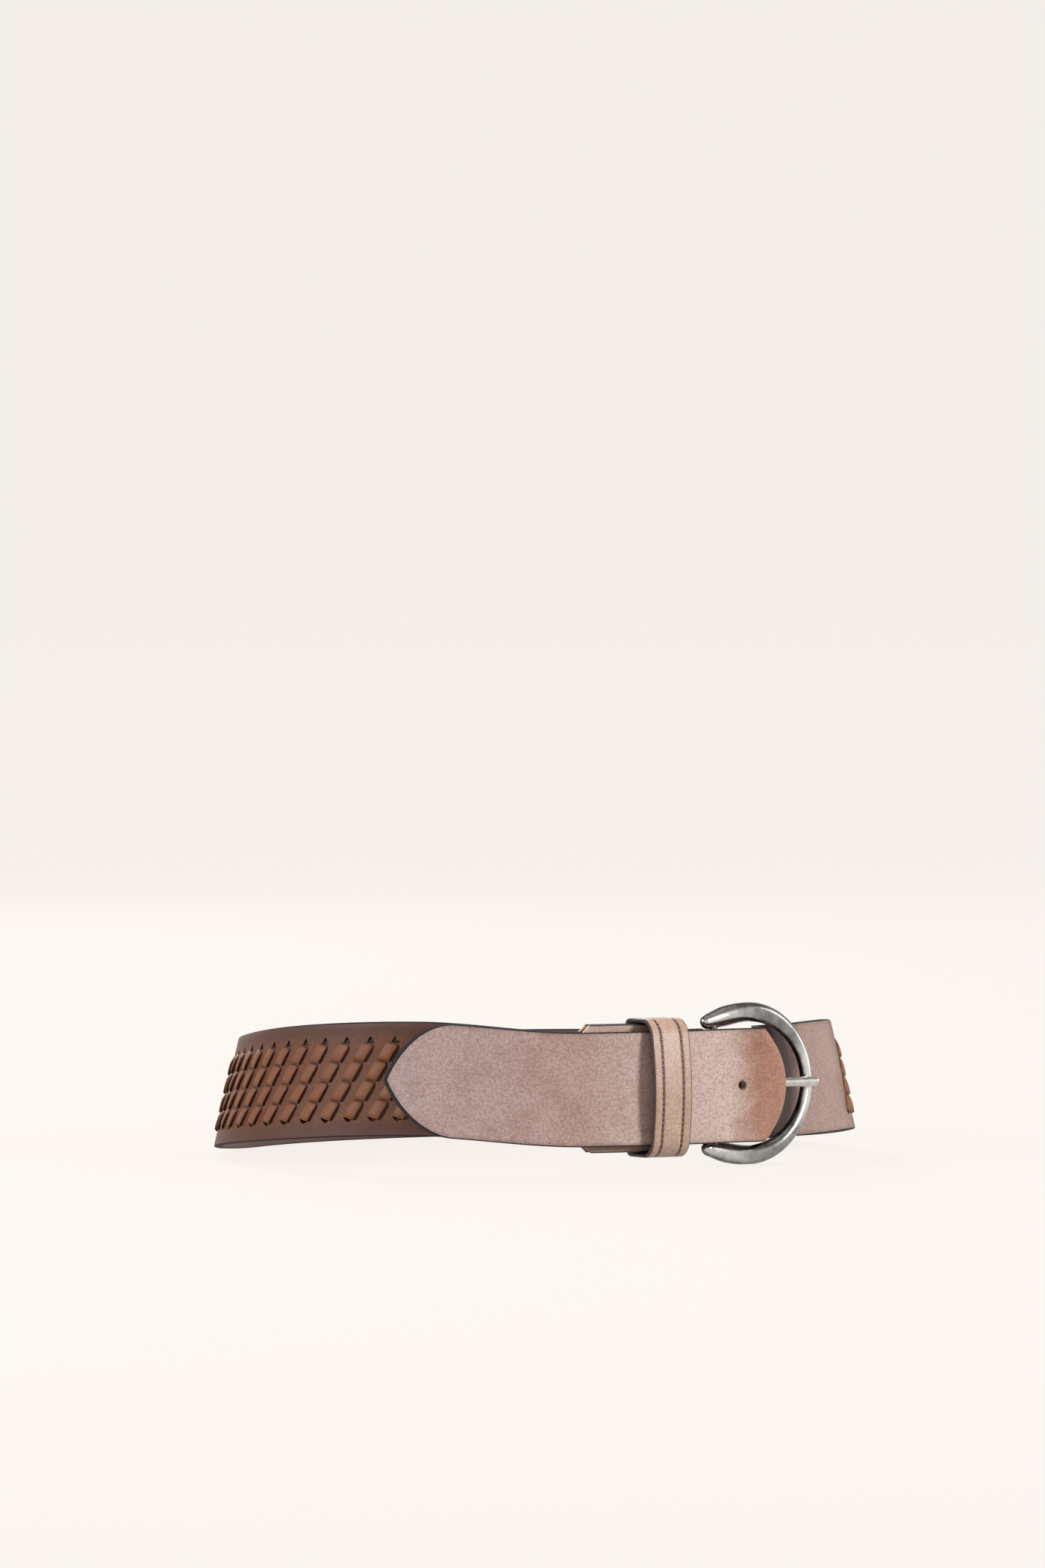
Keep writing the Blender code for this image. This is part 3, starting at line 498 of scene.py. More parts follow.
# Waxed leather: its tones, and where each one lies in mm from the tip. The dark stretch at 189-203 mm, behind
# the crossbar, is painted shadow; the lilac at the tip is partly painted sheen.
strapLook = dict(tones=dict(lilac=tone(176, 154, 152), mauve=tone(180, 152, 144), pale=tone(200, 176, 168),
                            russet=tone(164, 120, 100), dark=tone(76, 54, 50), plain=tone(160, 134, 126),
                            brown=tone(102, 62, 42)),
                 fromTip=((0, "lilac"), (80, "mauve"), (105, "pale"), (145, "pale"), (160, "russet"),
                          (176, "russet"), (189, "dark"), (203, "dark"), (211, "plain"), (246, "plain"),
                          (276, "brown")),
                 reach=276, wander=14, laced=(254, 280), speck=(0.62, 0.54, 0.50), edge=tone(28, 24, 27),
                 burnish=tone(80, 52, 48), margin=tone(52, 33, 28), flesh=tone(92, 70, 60), gloss=0.47,
                 level=0.26, bump=(0.26, 0.0003))


def strapFinish():
    look, finish = strapLook, Finish("waxedStrapLeather")
    place = finish.flat()
    along, across, out = (finish.part(place, axis) for axis in "XYZ")
    pores, fine, cloud, speckle = leatherGrain(finish, place)
    half, tip, fullness = strapSize["width"] / 2 / mm, strapSize["tipLength"] / mm, strapSize["tipFullness"]
    left = strapLength / mm - along
    nose = (left / tip).held()
    rounding = 1 - (1 - nose) * (1 - nose)
    rim = (half * rounding ** fullness - abs(across)).most(along)
    wander = left + (cloud - 0.5) * look["wander"]
    # the ramp holds the painted shadow behind the crossbar and the partly painted sheen at the tip
    stops = [(spot / look["reach"], look["tones"][name]) for spot, name in look["fromTip"]]
    colour = finish.node("ShaderNodeValToRGB", dict(stops=stops), dict(Fac=wander / look["reach"]), "Color")
    laced = left.rise(*look["laced"])
    grain = speckle.rise(0.42, 0.62) * 0.55 + cloud.rise(0.42, 0.68) * 0.24 + fine.rise(0.46, 0.62) * 0.55
    colour = finish.blend(grain.held(), colour, look["speck"], "MULTIPLY")
    wear = finish.noise(place, 0.35, 3.0)
    margin = (1 - (rim + (wear - 0.5) * 3).rise(3, 8)) * laced
    colour = finish.blend(margin * 0.5, colour, look["margin"])
    burnt = 1 - ((rim + (wear - 0.5) * 2.0 - 0.5) / (1.6 + 2.6 * laced)).held()
    colour = finish.blend(burnt * (0.34 + 0.36 * laced), colour, look["burnish"])
    colour = finish.blend(1 - out.rise(-1.5, -1.1), colour, look["flesh"])
    slope = 2 * fullness * half / tip * (1 - nose) * rounding.least(0.001) ** (fullness - 1)
    square = rim / (1 + slope * slope) ** 0.5  # distance square to the edge, also round the tip
    painted = 1 - (square - 1.6 * (1 - nose)).rise(0.32, 0.62)
    colour = finish.blend(painted, colour, look["edge"])
    gloss = look["gloss"] + 0.16 * (fine - 0.5) + 0.08 * laced + 0.25 * painted
    height = pores * 0.3 + fine * 0.6 + cloud * 0.25
    return finish.feed(colour=colour, roughness=gloss, level=look["level"],
                       normal=finish.bump(height, *look["bump"]))


# The lace's edge tone is its dark cut edge; it also paints the shadow along the lace's raised side and the
# shade where it dips into the slits
laceLook = dict(light=tone(126, 77, 48), dark=tone(104, 62, 40), edge=tone(44, 30, 27), gloss=0.54,
                level=0.22, bump=(0.3, 0.0003))


def laceFinish():
    look, finish = laceLook, Finish("russetLace")
    place = finish.flat()
    pores, fine, cloud, speckle = leatherGrain(finish, place)
    out = finish.part(place, "Z")
    side = finish.node("ShaderNodeAttribute", dict(attribute_name="side"), {}, "Fac")
    shade = (cloud * 1.4 - 0.2 + (speckle - 0.5) * 0.7).held()
    colour = finish.blend(shade, look["dark"], look["light"])
    # painted shade: darker where the lace dips to the strap's face and through the slits
    sunk = (1 - out.rise(1.75, 2.3)) * out.rise(-1.9, -1.5) * (1 - side.rise(0.30, 0.45))
    # dark cut edge along one side of the lace, its lower part also painted shadow under the raised lace
    cutEdgeAndShadow = (1 - (side + (speckle - 0.5) * 0.12).rise(-0.46, -0.33)) * (0.9 - 0.5 * out.rise(2.05, 2.5))
    colour = finish.blend(sunk.least(cutEdgeAndShadow), colour, look["edge"])
    return finish.feed(colour=colour, roughness=look["gloss"] + 0.16 * (fine - 0.5), level=look["level"],
                       normal=finish.bump(pores * 0.4 + fine * 0.6, *look["bump"]))


tanLook = dict(light=tone(198, 171, 153), dark=tone(172, 136, 113), edge=tone(40, 33, 36),
               burnish=tone(140, 98, 80), flesh=tone(150, 112, 88), groove=tone(112, 78, 72),
               gloss=0.46, level=0.45, bump=(0.3, 0.0003))


def tanFinish(name, halfAcross, thick, grooveAt=None):
    look, finish = tanLook, Finish(name)
    place = finish.flat()
    across, out = (finish.part(place, axis) for axis in "YZ")
    pores, fine, cloud, speckle = leatherGrain(finish, place)
    rim = halfAcross / mm - abs(across)
    shade = (cloud * 1.5 - 0.25).held()
    gloss = look["gloss"] + 0.16 * (fine - 0.5)
    colour = finish.blend(shade, look["dark"], look["light"])
    colour = finish.blend((1 - speckle.rise(0.40, 0.6)) * 0.42, colour, look["burnish"])
    if grooveAt:
        groove = 1 - abs(abs(across) - grooveAt / mm).rise(0.4, 0.9)
        colour = finish.blend(groove * 0.7, colour, look["groove"])
        gloss = gloss - 0.16 * groove
    colour = finish.blend((1 - rim.rise(0.3, 1.8)) * 0.35, colour, look["burnish"])
    colour = finish.blend(1 - out.rise(-thick / mm * 0.42, -thick / mm * 0.3), colour, look["flesh"])
    colour = finish.blend(1 - rim.rise(0.35, 0.6), colour, look["edge"])
    return finish.feed(colour=colour, roughness=gloss, level=look["level"],
                       normal=finish.bump(pores * 0.35 + fine * 0.6, *look["bump"]))


# On the buckle frame the lightest tone is painted highlight, partly wear, on the crown; the dark tone there
# paints the frame's sides in shade
metalLook = dict(bright=tone(170, 167, 164), wornAndHighlit=tone(210, 209, 209), dark=tone(60, 58, 58),
                 stain=tone(50, 47, 46), steel=(tone(214, 212, 211), tone(176, 173, 172)),
                 bump=(0.12, 0.0002))


def metalFinish(name, bright, dark, roughness, frameRun=None):
    look, finish = metalLook, Finish(name)
    place = finish.solid()
    cloud = finish.noise(place, 0.22, 4.0, 0.6)
    grit = finish.noise(place, 2.6, 4.0, 0.7)
    stretched = finish.node("ShaderNodeMapping", {}, dict(Vector=place, Scale=(0.5, 0.5, 7.0)))
    scratch = finish.noise(stretched, 1.4, 3.0, 0.7)
    pits = finish.cells(place, 0.55)
    shade = (cloud * 1.3 - 0.15).held()
    if frameRun:  # painted highlight, partly wear: lighter on the outer crown than on the sides, most on the crossbar, and lighter at the horns
        run, high = (finish.part(finish.flat(), axis) for axis in "XZ")
        horns = 1 - run.rise(10, 30) + run.rise(frameRun - 30, frameRun - 10)
        cross = run.rise(0.34 * frameRun, 0.44 * frameRun) - run.rise(0.56 * frameRun, 0.66 * frameRun)
        shade = (high.rise(0.4, 1.0) * (0.25 + 0.65 * cross + 0.5 * horns) + (cloud - 0.5) * 0.8 + 0.1).held()
    colour = finish.blend(shade, dark, bright)
    colour = finish.blend(grit.rise(0.52, 0.72) * 0.35, colour, look["stain"])
    colour = finish.blend((1 - pits.rise(0.05, 0.16)) * 0.5, colour, look["stain"])
    gloss = roughness + 0.16 * (grit - 0.5) + 0.10 * (scratch - 0.5)
    return finish.feed(colour=colour, metallic=1.0, roughness=gloss,
                       normal=finish.bump(scratch * 0.4 + grit * 0.6, *look["bump"]))


threadLook = dict(dark=tone(40, 26, 26), light=tone(84, 56, 52), gloss=0.34, bump=(0.3, 0.0002))


def threadFinish():
    look, finish = threadLook, Finish("waxedThread")
    twist = finish.noise(finish.solid(), 3.0, 3.0)
    colour = finish.blend(twist, look["dark"], look["light"])
    return finish.feed(colour=colour, roughness=look["gloss"] + 0.2 * (twist - 0.5),
                       normal=finish.bump(twist, *look["bump"]))


def tipHalfWidth(fromTip):
    share = np.minimum(1.0, np.asarray(fromTip, float) / strapSize["tipLength"])
    return strapSize["width"] / 2 * (1 - (1 - share) ** 2) ** strapSize["tipFullness"]


def holeLength(index):
    used = strapLengthAt(girth - (diveStart + diveEnd) / 2)
    return used + (strapSize["usedHole"] - index) * strapSize["holeSpacing"]


def lacePlaces():
    first = strapLengthAt(tabSize["length"] + laceSize["fromTab"]) + laceSize["rows"] * laceSize["rowShift"]
    last = holeLength(strapSize["holeCount"] - 1) - laceSize["fromLastHole"]
    return [first + i * laceSize["pitch"] for i in range(int((last - first) / laceSize["pitch"]) + 1)]


places = lacePlaces()
laceReach = laceSize["rows"] * laceSize["rowHeight"] / 2
laceShift = laceSize["rows"] * laceSize["rowShift"]


def prism(points, low, high):  # upright prism on a flat polygon, as points and faces
    count = len(points)
    verts = [(x, y, low) for x, y in points] + [(x, y, high) for x, y in points]
    faces = [tuple(range(count))[::-1], tuple(range(count, 2 * count))]
    faces += [(i, (i + 1) % count, count + (i + 1) % count, count + i) for i in range(count)]
    return verts, faces


# Slits in the strap, and the holes at both ends of a diagonal in mm round their place
slitShape = dict(halfLong=2.75 * mm, halfOpen=0.4 * mm, slope=0.28, depth=2.3 * mm, through=5 * mm,
                 top=((-1.9, -1.2), (1.9, -1.2), (0.3, 1.5), (-0.3, 1.5)),
                 bottom=((-1.9, -0.5), (-0.3, -1.4), (1.0, -0.8), (2.2, 0.7), (-1.5, 0.9)))


def makeCuts():  # every slit, end hole and belt hole as one cutter
    points, faces = [], []

    def take(outline, low, high):
        start = len(points)
        verts, sides = prism(outline, low, high)
        points.extend(verts)
        faces.extend(tuple(i + start for i in side) for side in sides)

    wide, thick, through = slitShape["halfLong"], slitShape["halfOpen"], slitShape["through"]
    front, rise = stack["strapThick"] / 2, slitShape["slope"] * wide
    for place in places:
        for row in range(1, laceSize["rows"]):
            s, w = place - row * laceSize["rowShift"], -laceReach + row * laceSize["rowHeight"]
            outline = [(s - wide, w - rise), (s, w - thick), (s + wide, w + rise), (s, w + thick)]
            take(outline, front - slitShape["depth"], front + mm)
        for end, s, w in (("top", place - laceShift, laceReach), ("bottom", place, -laceReach)):
            take([(s + x * mm, w + y * mm) for x, y in slitShape[end]], -through, through)
    radius = strapSize["holeRadius"]
    for index in range(strapSize["holeCount"]):
        if index != strapSize["usedHole"]:
            take([(holeLength(index) + radius * math.cos(a), radius * math.sin(a))
                  for a in np.linspace(0, 2 * math.pi, 25)[:-1]], -through, through)
    cutter = pieceFrom("strapCuts", points, faces)
    weld(cutter, 1e-7)
    return cutter


def prongRise():
    high = buckleSize["flatten"] * buckleSize["radius"] + stack["gap"] + prongSize["radius"]
    return math.atan2(high, buckleSize["reach"])


def raised(points):  # the prong's own (along, across, up) points at its rise to the crossbar
    x, y, z = np.asarray(points, float).T
    cos, sin = math.cos(prongRise()), math.sin(prongRise())
    return np.stack((x * cos - z * sin, y, x * sin + z * cos), axis=1)


def prongPassage():  # the way through the strap for the prong over its whole swing
    length, radius = buckleSize["reach"] + 2 * prongSize["overhang"], prongSize["radius"] + stack["gap"]
    rod = [(run, radius * math.sin(a), radius * math.cos(a))
           for run in (0, length) for a in np.linspace(0, 2 * math.pi, 33)[:-1]]
    rod = placeLocal(raised(rod), 0, barOut)
    origin, up = Vector(barJoint["pos_m"]), localAxes(0)[1]
    points = []
    for angle in np.linspace(-prongSize["framePlay"], prongSize["play"] + prongSize["framePlay"], 3):
        swing = Matrix.Rotation(float(angle), 3, -up)
        points += [origin + swing @ (Vector(point) - origin) for point in rod]
    passage = pieceFrom("prongPassage", points, [])
    editAll(passage, bpy.ops.mesh.convex_hull)
    weld(passage)
    return passage


def makeStrap():
    size, half = strapSize, strapSize["width"] / 2
    tip = size["tipLength"] * np.linspace(0, 1, 40) ** 2
    upper = [(strapLength - x, float(tipHalfWidth(x))) for x in tip[::-1]]
    lower = [(x, -w) for x, w in upper[:-1][::-1]]
    outline = [(0, -half), (0, half)] + upper + lower
    strap = flatSolid("strapLeather", [outline], stack["strapThick"], size["rimRadius"])
    combine(strap, "DIFFERENCE", makeCuts())
    low = strapLengthAt(girth - diveStart - size["bendMargin"])
    high = strapLengthAt(girth - diveEnd + size["bendBow"] + size["bendMargin"])
    sliceAcross(strap, evenly(0, low, size["slice"]) + [low] + evenly(low, high, size["bendSlice"]) + [high]
                + evenly(high, strapLength, size["slice"]))
    sliceAcross(strap, evenly(-half, half, size["rowSlice"]), (0, 1, 0))
    flat = meshPoints(strap)
    movePoints(strap, wrapOnStrap(*flat.T), flat)
    finishFaces(strap, True)
    combine(strap, "DIFFERENCE", prongPassage())
    give(strap, strapFinish(), "belt", "waxed_brown_leather", "strap")
    print("strap", len(strap.data.polygons), "faces")


# One lace between two slits: (share of the way, share of the height, share of the width)
laceHump = ((0.05, 0.0, 0.9), (0.12, 0.48, 0.96), (0.26, 0.86, 1.0), (0.5, 1.0, 1.0), (0.78, 1.04, 1.0),
            (0.91, 1.0, 1.0), (0.955, 0.78, 0.98), (0.985, 0.3, 0.95))


def lacePath(group):  # (along, across, out, width share): down each diagonal in shingles, back up behind
    size, shift, height = laceSize, laceSize["rowShift"], laceSize["rowHeight"]
    front = stack["strapThick"] / 2
    high = front + size["thick"] / 2 - size["bed"]
    rest = -(front + stack["gap"] + size["thick"] / 2)
    sunk, neck = front - size["sink"], front - size["neck"]
    low = -laceReach + 0.3 * mm
    path = []
    for i, place in enumerate(group):
        top = place - laceShift
        path += [(top, laceReach - 0.45 * mm, rest, size["turnWidth"]),
                 (top, laceReach - 0.4 * mm, neck, size["neckWidth"])]
        for row in range(size["rows"]):
            s, w = top + row * shift, laceReach - row * height
            for share, lift, wide in laceHump:
                run = 0.09 + 0.91 * share if row == 0 else share
                run = 0.96 * run if row + 1 == size["rows"] else run
                path.append((s + run * shift, w - run * height, sunk + (high - sunk) * lift, wide))
            if row + 1 < size["rows"]:
                path.append((s + shift, w - height, sunk, size["slitWidth"]))
        path += [(place, low, neck, size["neckWidth"]), (place, low, rest, size["turnWidth"])]
        if i + 1 < len(group):
            following = group[i + 1] - laceShift
            for share in (0.12, 0.5, 0.88):
                path.append((place + (following - place) * share, -laceReach + 2 * laceReach * share,
                             rest - size["backSlack"], 1.0))
    return np.array(path)


laceSection = ((-0.5, -0.38), (-0.44, -0.5), (0.44, -0.5), (0.5, -0.38), (0.5, 0.30), (0.43, 0.47),
               (0.0, 0.50), (-0.43, 0.47), (-0.5, 0.30))


def makeLaces():
    share = math.ceil(len(places) / laceSize["lengths"])
    finish = laceFinish()
    for number in range(laceSize["lengths"]):
        path = lacePath(places[number * share:(number + 1) * share])
        steps = np.diff(path[:, 1:3], axis=0)
        steps /= np.maximum(np.linalg.norm(steps, axis=1, keepdims=True), 1e-9)
        incoming = np.vstack((steps[:1], steps))
        outgoing = np.vstack((steps, steps[-1:]))
        bisector = incoming + outgoing
        bisector /= np.maximum(np.linalg.norm(bisector, axis=1, keepdims=True), 1e-9)
        stretch = 1 / np.maximum(0.6, np.sum(bisector * incoming, axis=1))
        side = np.stack((bisector[:, 1], -bisector[:, 0]), axis=1) * (laceSize["thick"] * stretch)[:, None]
        shown = path[:, 2] > stack["strapThick"] / 2  # on the face a lace tips up on its right
        points = []
        for a, b in laceSection:
            offset = a * laceSize["width"] * path[:, 3]
            high = path[:, 1] + b * side[:, 0] + slitShape["slope"] * offset
            out = path[:, 2] + b * side[:, 1] - laceSize["tilt"] * a * shown
            points.append(np.stack((path[:, 0] + offset, high, out), axis=1))
        flat = np.stack(points, axis=1).reshape(-1, 3)
        ring, count = len(laceSection), len(path)
        corners = [(i * ring, k, (k + 1) % ring) for i in range(count - 1) for k in range(ring)]
        faces = [(at + k, at + after, at + ring + after, at + ring + k) for at, k, after in corners]
        faces += [tuple(range(ring))[::-1], tuple(range((count - 1) * ring, count * ring))]
        bent = wrapOnStrap(*flat.T)
        lace = pieceFrom("lace%d" % (number + 1), bent, faces, flat)
        layer = lace.data.attributes.new("side", "FLOAT", "POINT")  # across the lace, for its dark cut edge and painted shadow line
        layer.data.foreach_set("value", np.tile([a for a, b in laceSection], count).astype(np.float32))
        weld(lace, 1e-7)
        finishFaces(lace, False, 50)
        give(lace, finish, "belt", "russet_lace_leather", "lace_%d" % (number + 1))
    print("laces", len(places), "diagonals")


def makeTab():
    size, length, slot = tabSize, tabSize["length"], tabSize["slotWidth"] / 2
    middle = barOut - stack["tabThick"] / 2
    fold = math.pi * middle
    total = 2 * length + fold
    half, neck, cut = size["width"] / 2, size["neckWidth"] / 2, size["chamfer"] * 0.95
    shoulder = length - size["neckLength"]
    side = [(0, half - cut), (cut, half), (shoulder - size["taper"], half), (shoulder, neck)]
    outline = side + [(total - x, w) for x, w in side[::-1]]
    outline += [(x, -w) for x, w in outline[::-1]]
    reach = fold / 2 + size["slotLength"]
    hole = []
    for centre, start in ((total / 2 + reach - slot, -90), (total / 2 - reach + slot, 90)):
        for a in range(start, start + 181, 15):
            hole.append((centre + slot * math.cos(math.radians(a)), slot * math.sin(math.radians(a))))
    tab = flatSolid("tabLeather", [outline, hole], stack["tabThick"], size["rimRadius"])
    folded = length + fold
    sliceAcross(tab, evenly(0, length, size["slice"]) + [length] + evenly(length, folded, size["foldSlice"])
                + [folded] + evenly(folded, total, size["slice"]))
    flat = meshPoints(tab)
    run = flat[:, 0]
    turn = np.clip((run - length) / middle, 0, math.pi)  # 0 on the back ply, half a turn on the front ply
    beyond = np.where(run < length, length - run, np.where(run > folded, run - length - fold, 0))
    radius = middle + flat[:, 2]
    along = beyond - radius * np.sin(turn)
    out = barOut - radius * np.cos(turn)
    movePoints(tab, wrapOnWaist(along, flat[:, 1], out), flat)
    finishFaces(tab, False)
    editAll(tab, faceOutwards)
    give(tab, tanFinish("tabTan", half, stack["tabThick"]), "belt", "tan_leather", "buckle_tab")
    print("tab")


keeperHalf = tabSize["width"] / 2 + stack["gap"] + keeperSize["sidePlay"]
keeperBack = -(stack["rivetHead"] + stack["gap"] + keeperSize["backPlay"])
keeperFront = billetOnTab + stack["strapThick"] / 2 + keeperSize["slack"]


def keeperLoop():  # middle of the keeper's thickness in (up, out), from the butt at the back round the front
    size, ply = keeperSize, keeperSize["thick"] / 2
    half, back, front = keeperHalf + ply, keeperBack - ply, keeperFront + ply - size["flatten"]
    corner, big = size["corner"] - ply, size["shoulder"]
    points = [(u, back) for u in np.linspace(size["butt"], half - corner, 10)]
    points += [(half - corner + corner * math.sin(a), back + corner - corner * math.cos(a))
               for a in np.linspace(0, math.pi / 2, 9)[1:]]
    points += [(half, v) for v in np.linspace(back + corner, front - big, 6)[1:]]
    points += [(half - big + big * math.cos(a), front - big + big * math.sin(a))
               for a in np.linspace(0, math.pi / 2, 11)[1:]]
    points += [(u, front) for u in np.linspace(half - big, 0, 16)[1:]]
    points = np.array(points)
    rise = np.clip(1 - (points[:, 0] / half) ** 2, 0, 1) * size["bulge"]
    ahead = np.clip((points[:, 1] - back) / (front - back), 0, 1) ** 2
    points[:, 1] += rise * ahead
    return np.vstack((points, points[:-1][::-1] * (-1, 1)))


loopPoints = keeperLoop()
loopLengths = runLengths(loopPoints)


def onLoop(run, side, out):  # a flat place on the keeper's strip to its place on the belt
    step = 0.6 * mm
    ahead = readLine(run + step, loopLengths, loopPoints) - readLine(run - step, loopLengths, loopPoints)
    spot = readLine(run, loopLengths, loopPoints) - outwards(ahead) * np.asarray(out)[:, None]
    return placeLocal(np.stack((side, spot[:, 0], spot[:, 1]), axis=1), keeperSize["at"], 0)


def makeKeeper():
    size = keeperSize
    half, total = size["length"] / 2, float(loopLengths[-1])
    outline = [(0, -half), (0, half), (total, half), (total, -half)]
    strip = flatSolid("keeperLeather", [outline], size["thick"], size["rimRadius"])
    sliceAcross(strip, evenly(0, total, size["slice"]))
    row, groove = half - size["rowInset"], size["grooveHalf"]
    lines = [sign * row + step for sign in (-1, 1) for step in np.linspace(-groove, groove, 7)]
    sliceAcross(strip, lines + evenly(-row, row, size["rowSlice"]), (0, 1, 0))
    flat = meshPoints(strip)
    gap = np.abs(np.abs(flat[:, 1]) - row) / groove
    low, high = size["grooveReach"]
    shown = (flat[:, 0] > low * total) & (flat[:, 0] < high * total) & (flat[:, 2] > 0.4 * size["thick"])
    sunk = np.where(shown & (gap < 1), 0.5 + 0.5 * np.cos(math.pi * gap), 0) * size["grooveDepth"]
    movePoints(strip, onLoop(flat[:, 0], flat[:, 1], flat[:, 2] - sunk), flat)
    finishFaces(strip, False)
    editAll(strip, faceOutwards)
    give(strip, tanFinish("keeperTan", half, size["thick"], row), "keeper", "tan_leather", "keeper")
    print("keeper")


stitchSize = dict(pitch=2.1 * mm, long=1.5 * mm, wide=1.05 * mm, high=0.6 * mm, slant=0.3, reach=(0.16, 0.84),
                  lift=0.02 * mm)


def makeStitches():  # one stitch is modelled, and its copies lie along each groove
    size, total = stitchSize, float(loopLengths[-1])
    freshStart()
    bpy.ops.mesh.primitive_cube_add(size=1)
    stitch = bpy.context.object
    applyModifier(stitch, "BEVEL", width=0.3, segments=2)
    one = meshPoints(stitch)
    faces = [tuple(face.vertices) for face in stitch.data.polygons]
    bpy.data.objects.remove(stitch, do_unlink=True)
    row = keeperSize["length"] / 2 - keeperSize["rowInset"]
    finish = threadFinish()
    low, high = size["reach"]
    for number, side in ((1, -1), (2, 1)):
        runs = np.arange(low * total, high * total, size["pitch"])
        points, allFaces = [], []
        for i, run in enumerate(runs):
            x = run + one[:, 0] * size["long"]
            y = side * row + one[:, 1] * size["wide"] + one[:, 0] * size["slant"] * size["wide"]
            z = keeperSize["thick"] / 2 - keeperSize["grooveDepth"] + size["lift"] + one[:, 2] * size["high"]
            points.append(onLoop(x, y, z))
            allFaces += [tuple(k + i * len(one) for k in face) for face in faces]
        rowPiece = pieceFrom("keeperStitches%d" % number, np.vstack(points), allFaces)
        editAll(rowPiece, faceOutwards)
        smooth(rowPiece, 60)
        give(rowPiece, finish, "keeper", "dark_thread", "keeper_stitching_%d" % number)
    print("stitches")


def barReach():
    return buckleSize["height"] / 2 - buckleSize["topRadius"] - 0.68 * buckleSize["hornTuck"]


def frameLine(count):  # horseshoe in (right, up) from horn to horn, and each point's share of the way
    size, tuck, shoulder = buckleSize, buckleSize["hornTuck"], buckleSize["shoulder"]
    half = size["height"] / 2 - size["topRadius"]
    reach = size["reach"] + size["crossShift"] - shoulder
    knots = [(-size["horn"], half - tuck), (0, barReach()), (0.33 * shoulder, half - 0.36 * tuck),
             (0.66 * shoulder, half - 0.1 * tuck)]
    knots += [(shoulder + reach * math.cos(a), half * math.sin(a)) for a in np.linspace(math.pi / 2, 0, 25)]
    knots += [(x, -y) for x, y in knots[:-1][::-1]]
    knots = np.array(knots)
    run, last = runLengths(knots), size["linePoints"] - 1
    line = readLine(np.linspace(0, run[-1], size["linePoints"]), run, knots)
    for _ in range(size["smoothing"]):  # smooths the corners between the knots
        line[1:-1] += 0.5 * ((line[:-2] + line[2:]) / 2 - line[1:-1])
    ends = np.arange(size["endPoints"])
    spread = np.unique(np.concatenate((ends, np.linspace(0, last, count).round(), last - ends))).astype(int)
    return line[spread], spread / last


def makeFrame():
    size = buckleSize
    line, share = frameLine(150)
    horn, shoulder, top = size["hornEndRadius"], size["shoulderRadius"], size["topRadius"]
    radius = ease([(0.0, horn), (0.09, shoulder), (0.19, top), (0.5, size["crossRadius"]), (0.81, top),
                   (0.91, shoulder), (1.0, horn)], share)
    total = float(np.linalg.norm(np.diff(line, axis=0), axis=1).sum())
    inward = np.minimum(share, 1 - share) * total / horn  # the horns end in a round
    radius = radius * np.sqrt(1 - (1 - np.clip(inward + 0.03, 0, 1)) ** 2)
    curve = bpy.data.curves.new("buckleFrame", "CURVE")
    curve.dimensions = "3D"
    curve.bevel_depth = 1
    curve.bevel_resolution = 10
    curve.use_fill_caps = True
    spline = curve.splines.new("POLY")
    spline.points.add(len(line) - 1)
    for point, place, thick in zip(spline.points, line, radius):
        point.co = (*place, 0, 1)
        point.radius = thick
    obj = meshFromCurve("buckleHorseshoe", curve, 1e-6)
    points = meshPoints(obj)
    points[:, 2] *= size["flatten"]
    movePoints(obj, points)
    bore = cylinder(32, size["barRadius"] + stack["gap"], 2 * (barReach() + stack["gap"]), sideways)
    combine(obj, "DIFFERENCE", bore)
    points = meshPoints(obj)
    nearest = np.argmin(np.linalg.norm(points[:, None, :2] - line[None], axis=2), axis=1)
    # each point's height across the section, for the painted highlight on the crown
    high = points[:, 2] / (size["flatten"] * np.maximum(radius[nearest], 1e-6))
    flat = np.stack((share[nearest] * total, np.zeros(len(points)), high * mm), axis=1)
    movePoints(obj, placeLocal(points, 0, barOut), flat)
    smooth(obj, 50)
    # the frame's finish paints a highlight on its crown, crossbar and horns, partly wear
    wornAndHighlit = metalFinish("wornAndHighlitNickel", metalLook["wornAndHighlit"], metalLook["dark"], 0.2, total / mm)
    give(obj, wornAndHighlit, "frame", "antique_nickel", "buckle_frame")
    print("buckle frame", len(obj.data.polygons), "faces")


def makeProng():
    size = prongSize
    length = buckleSize["reach"] + size["overhang"]
    rod = cylinder(28, size["radius"], length, (0, math.radians(90), 0), (length / 2, 0, 0))
    enter("EDIT")
    bpy.ops.mesh.select_all(action="DESELECT")
    enter("OBJECT")
    for edge in rod.data.edges:  # the far rim is rounded
        edge.select = all(rod.data.vertices[v].co.x > length - 1e-5 for v in edge.vertices)
    enter("EDIT")
    bpy.ops.mesh.select_mode(type="EDGE")
    bpy.ops.mesh.bevel(offset=size["tipRound"], segments=5, affect="EDGES")
    enter("OBJECT")
    bore = buckleSize["barRadius"] + stack["gap"]
    ring = cylinder(40, bore + size["eyeWall"], 2 * size["radius"], sideways)
    applyModifier(ring, "BEVEL", width=size["eyeRound"], segments=3, limit_method="ANGLE")
    combine(rod, "UNION", ring)
    combine(rod, "DIFFERENCE", cylinder(40, bore, size["boreDepth"], sideways))
    movePoints(rod, placeLocal(raised(meshPoints(rod)), 0, barOut))
    smooth(rod, 40)
    rod.name = "prongRod"
    give(rod, steel, "prong", "bright_steel", "prong")
    print("prong")


nickel = metalFinish("antiqueNickel", metalLook["bright"], metalLook["dark"], 0.24)
steel = metalFinish("wornSteel", *metalLook["steel"], 0.22)

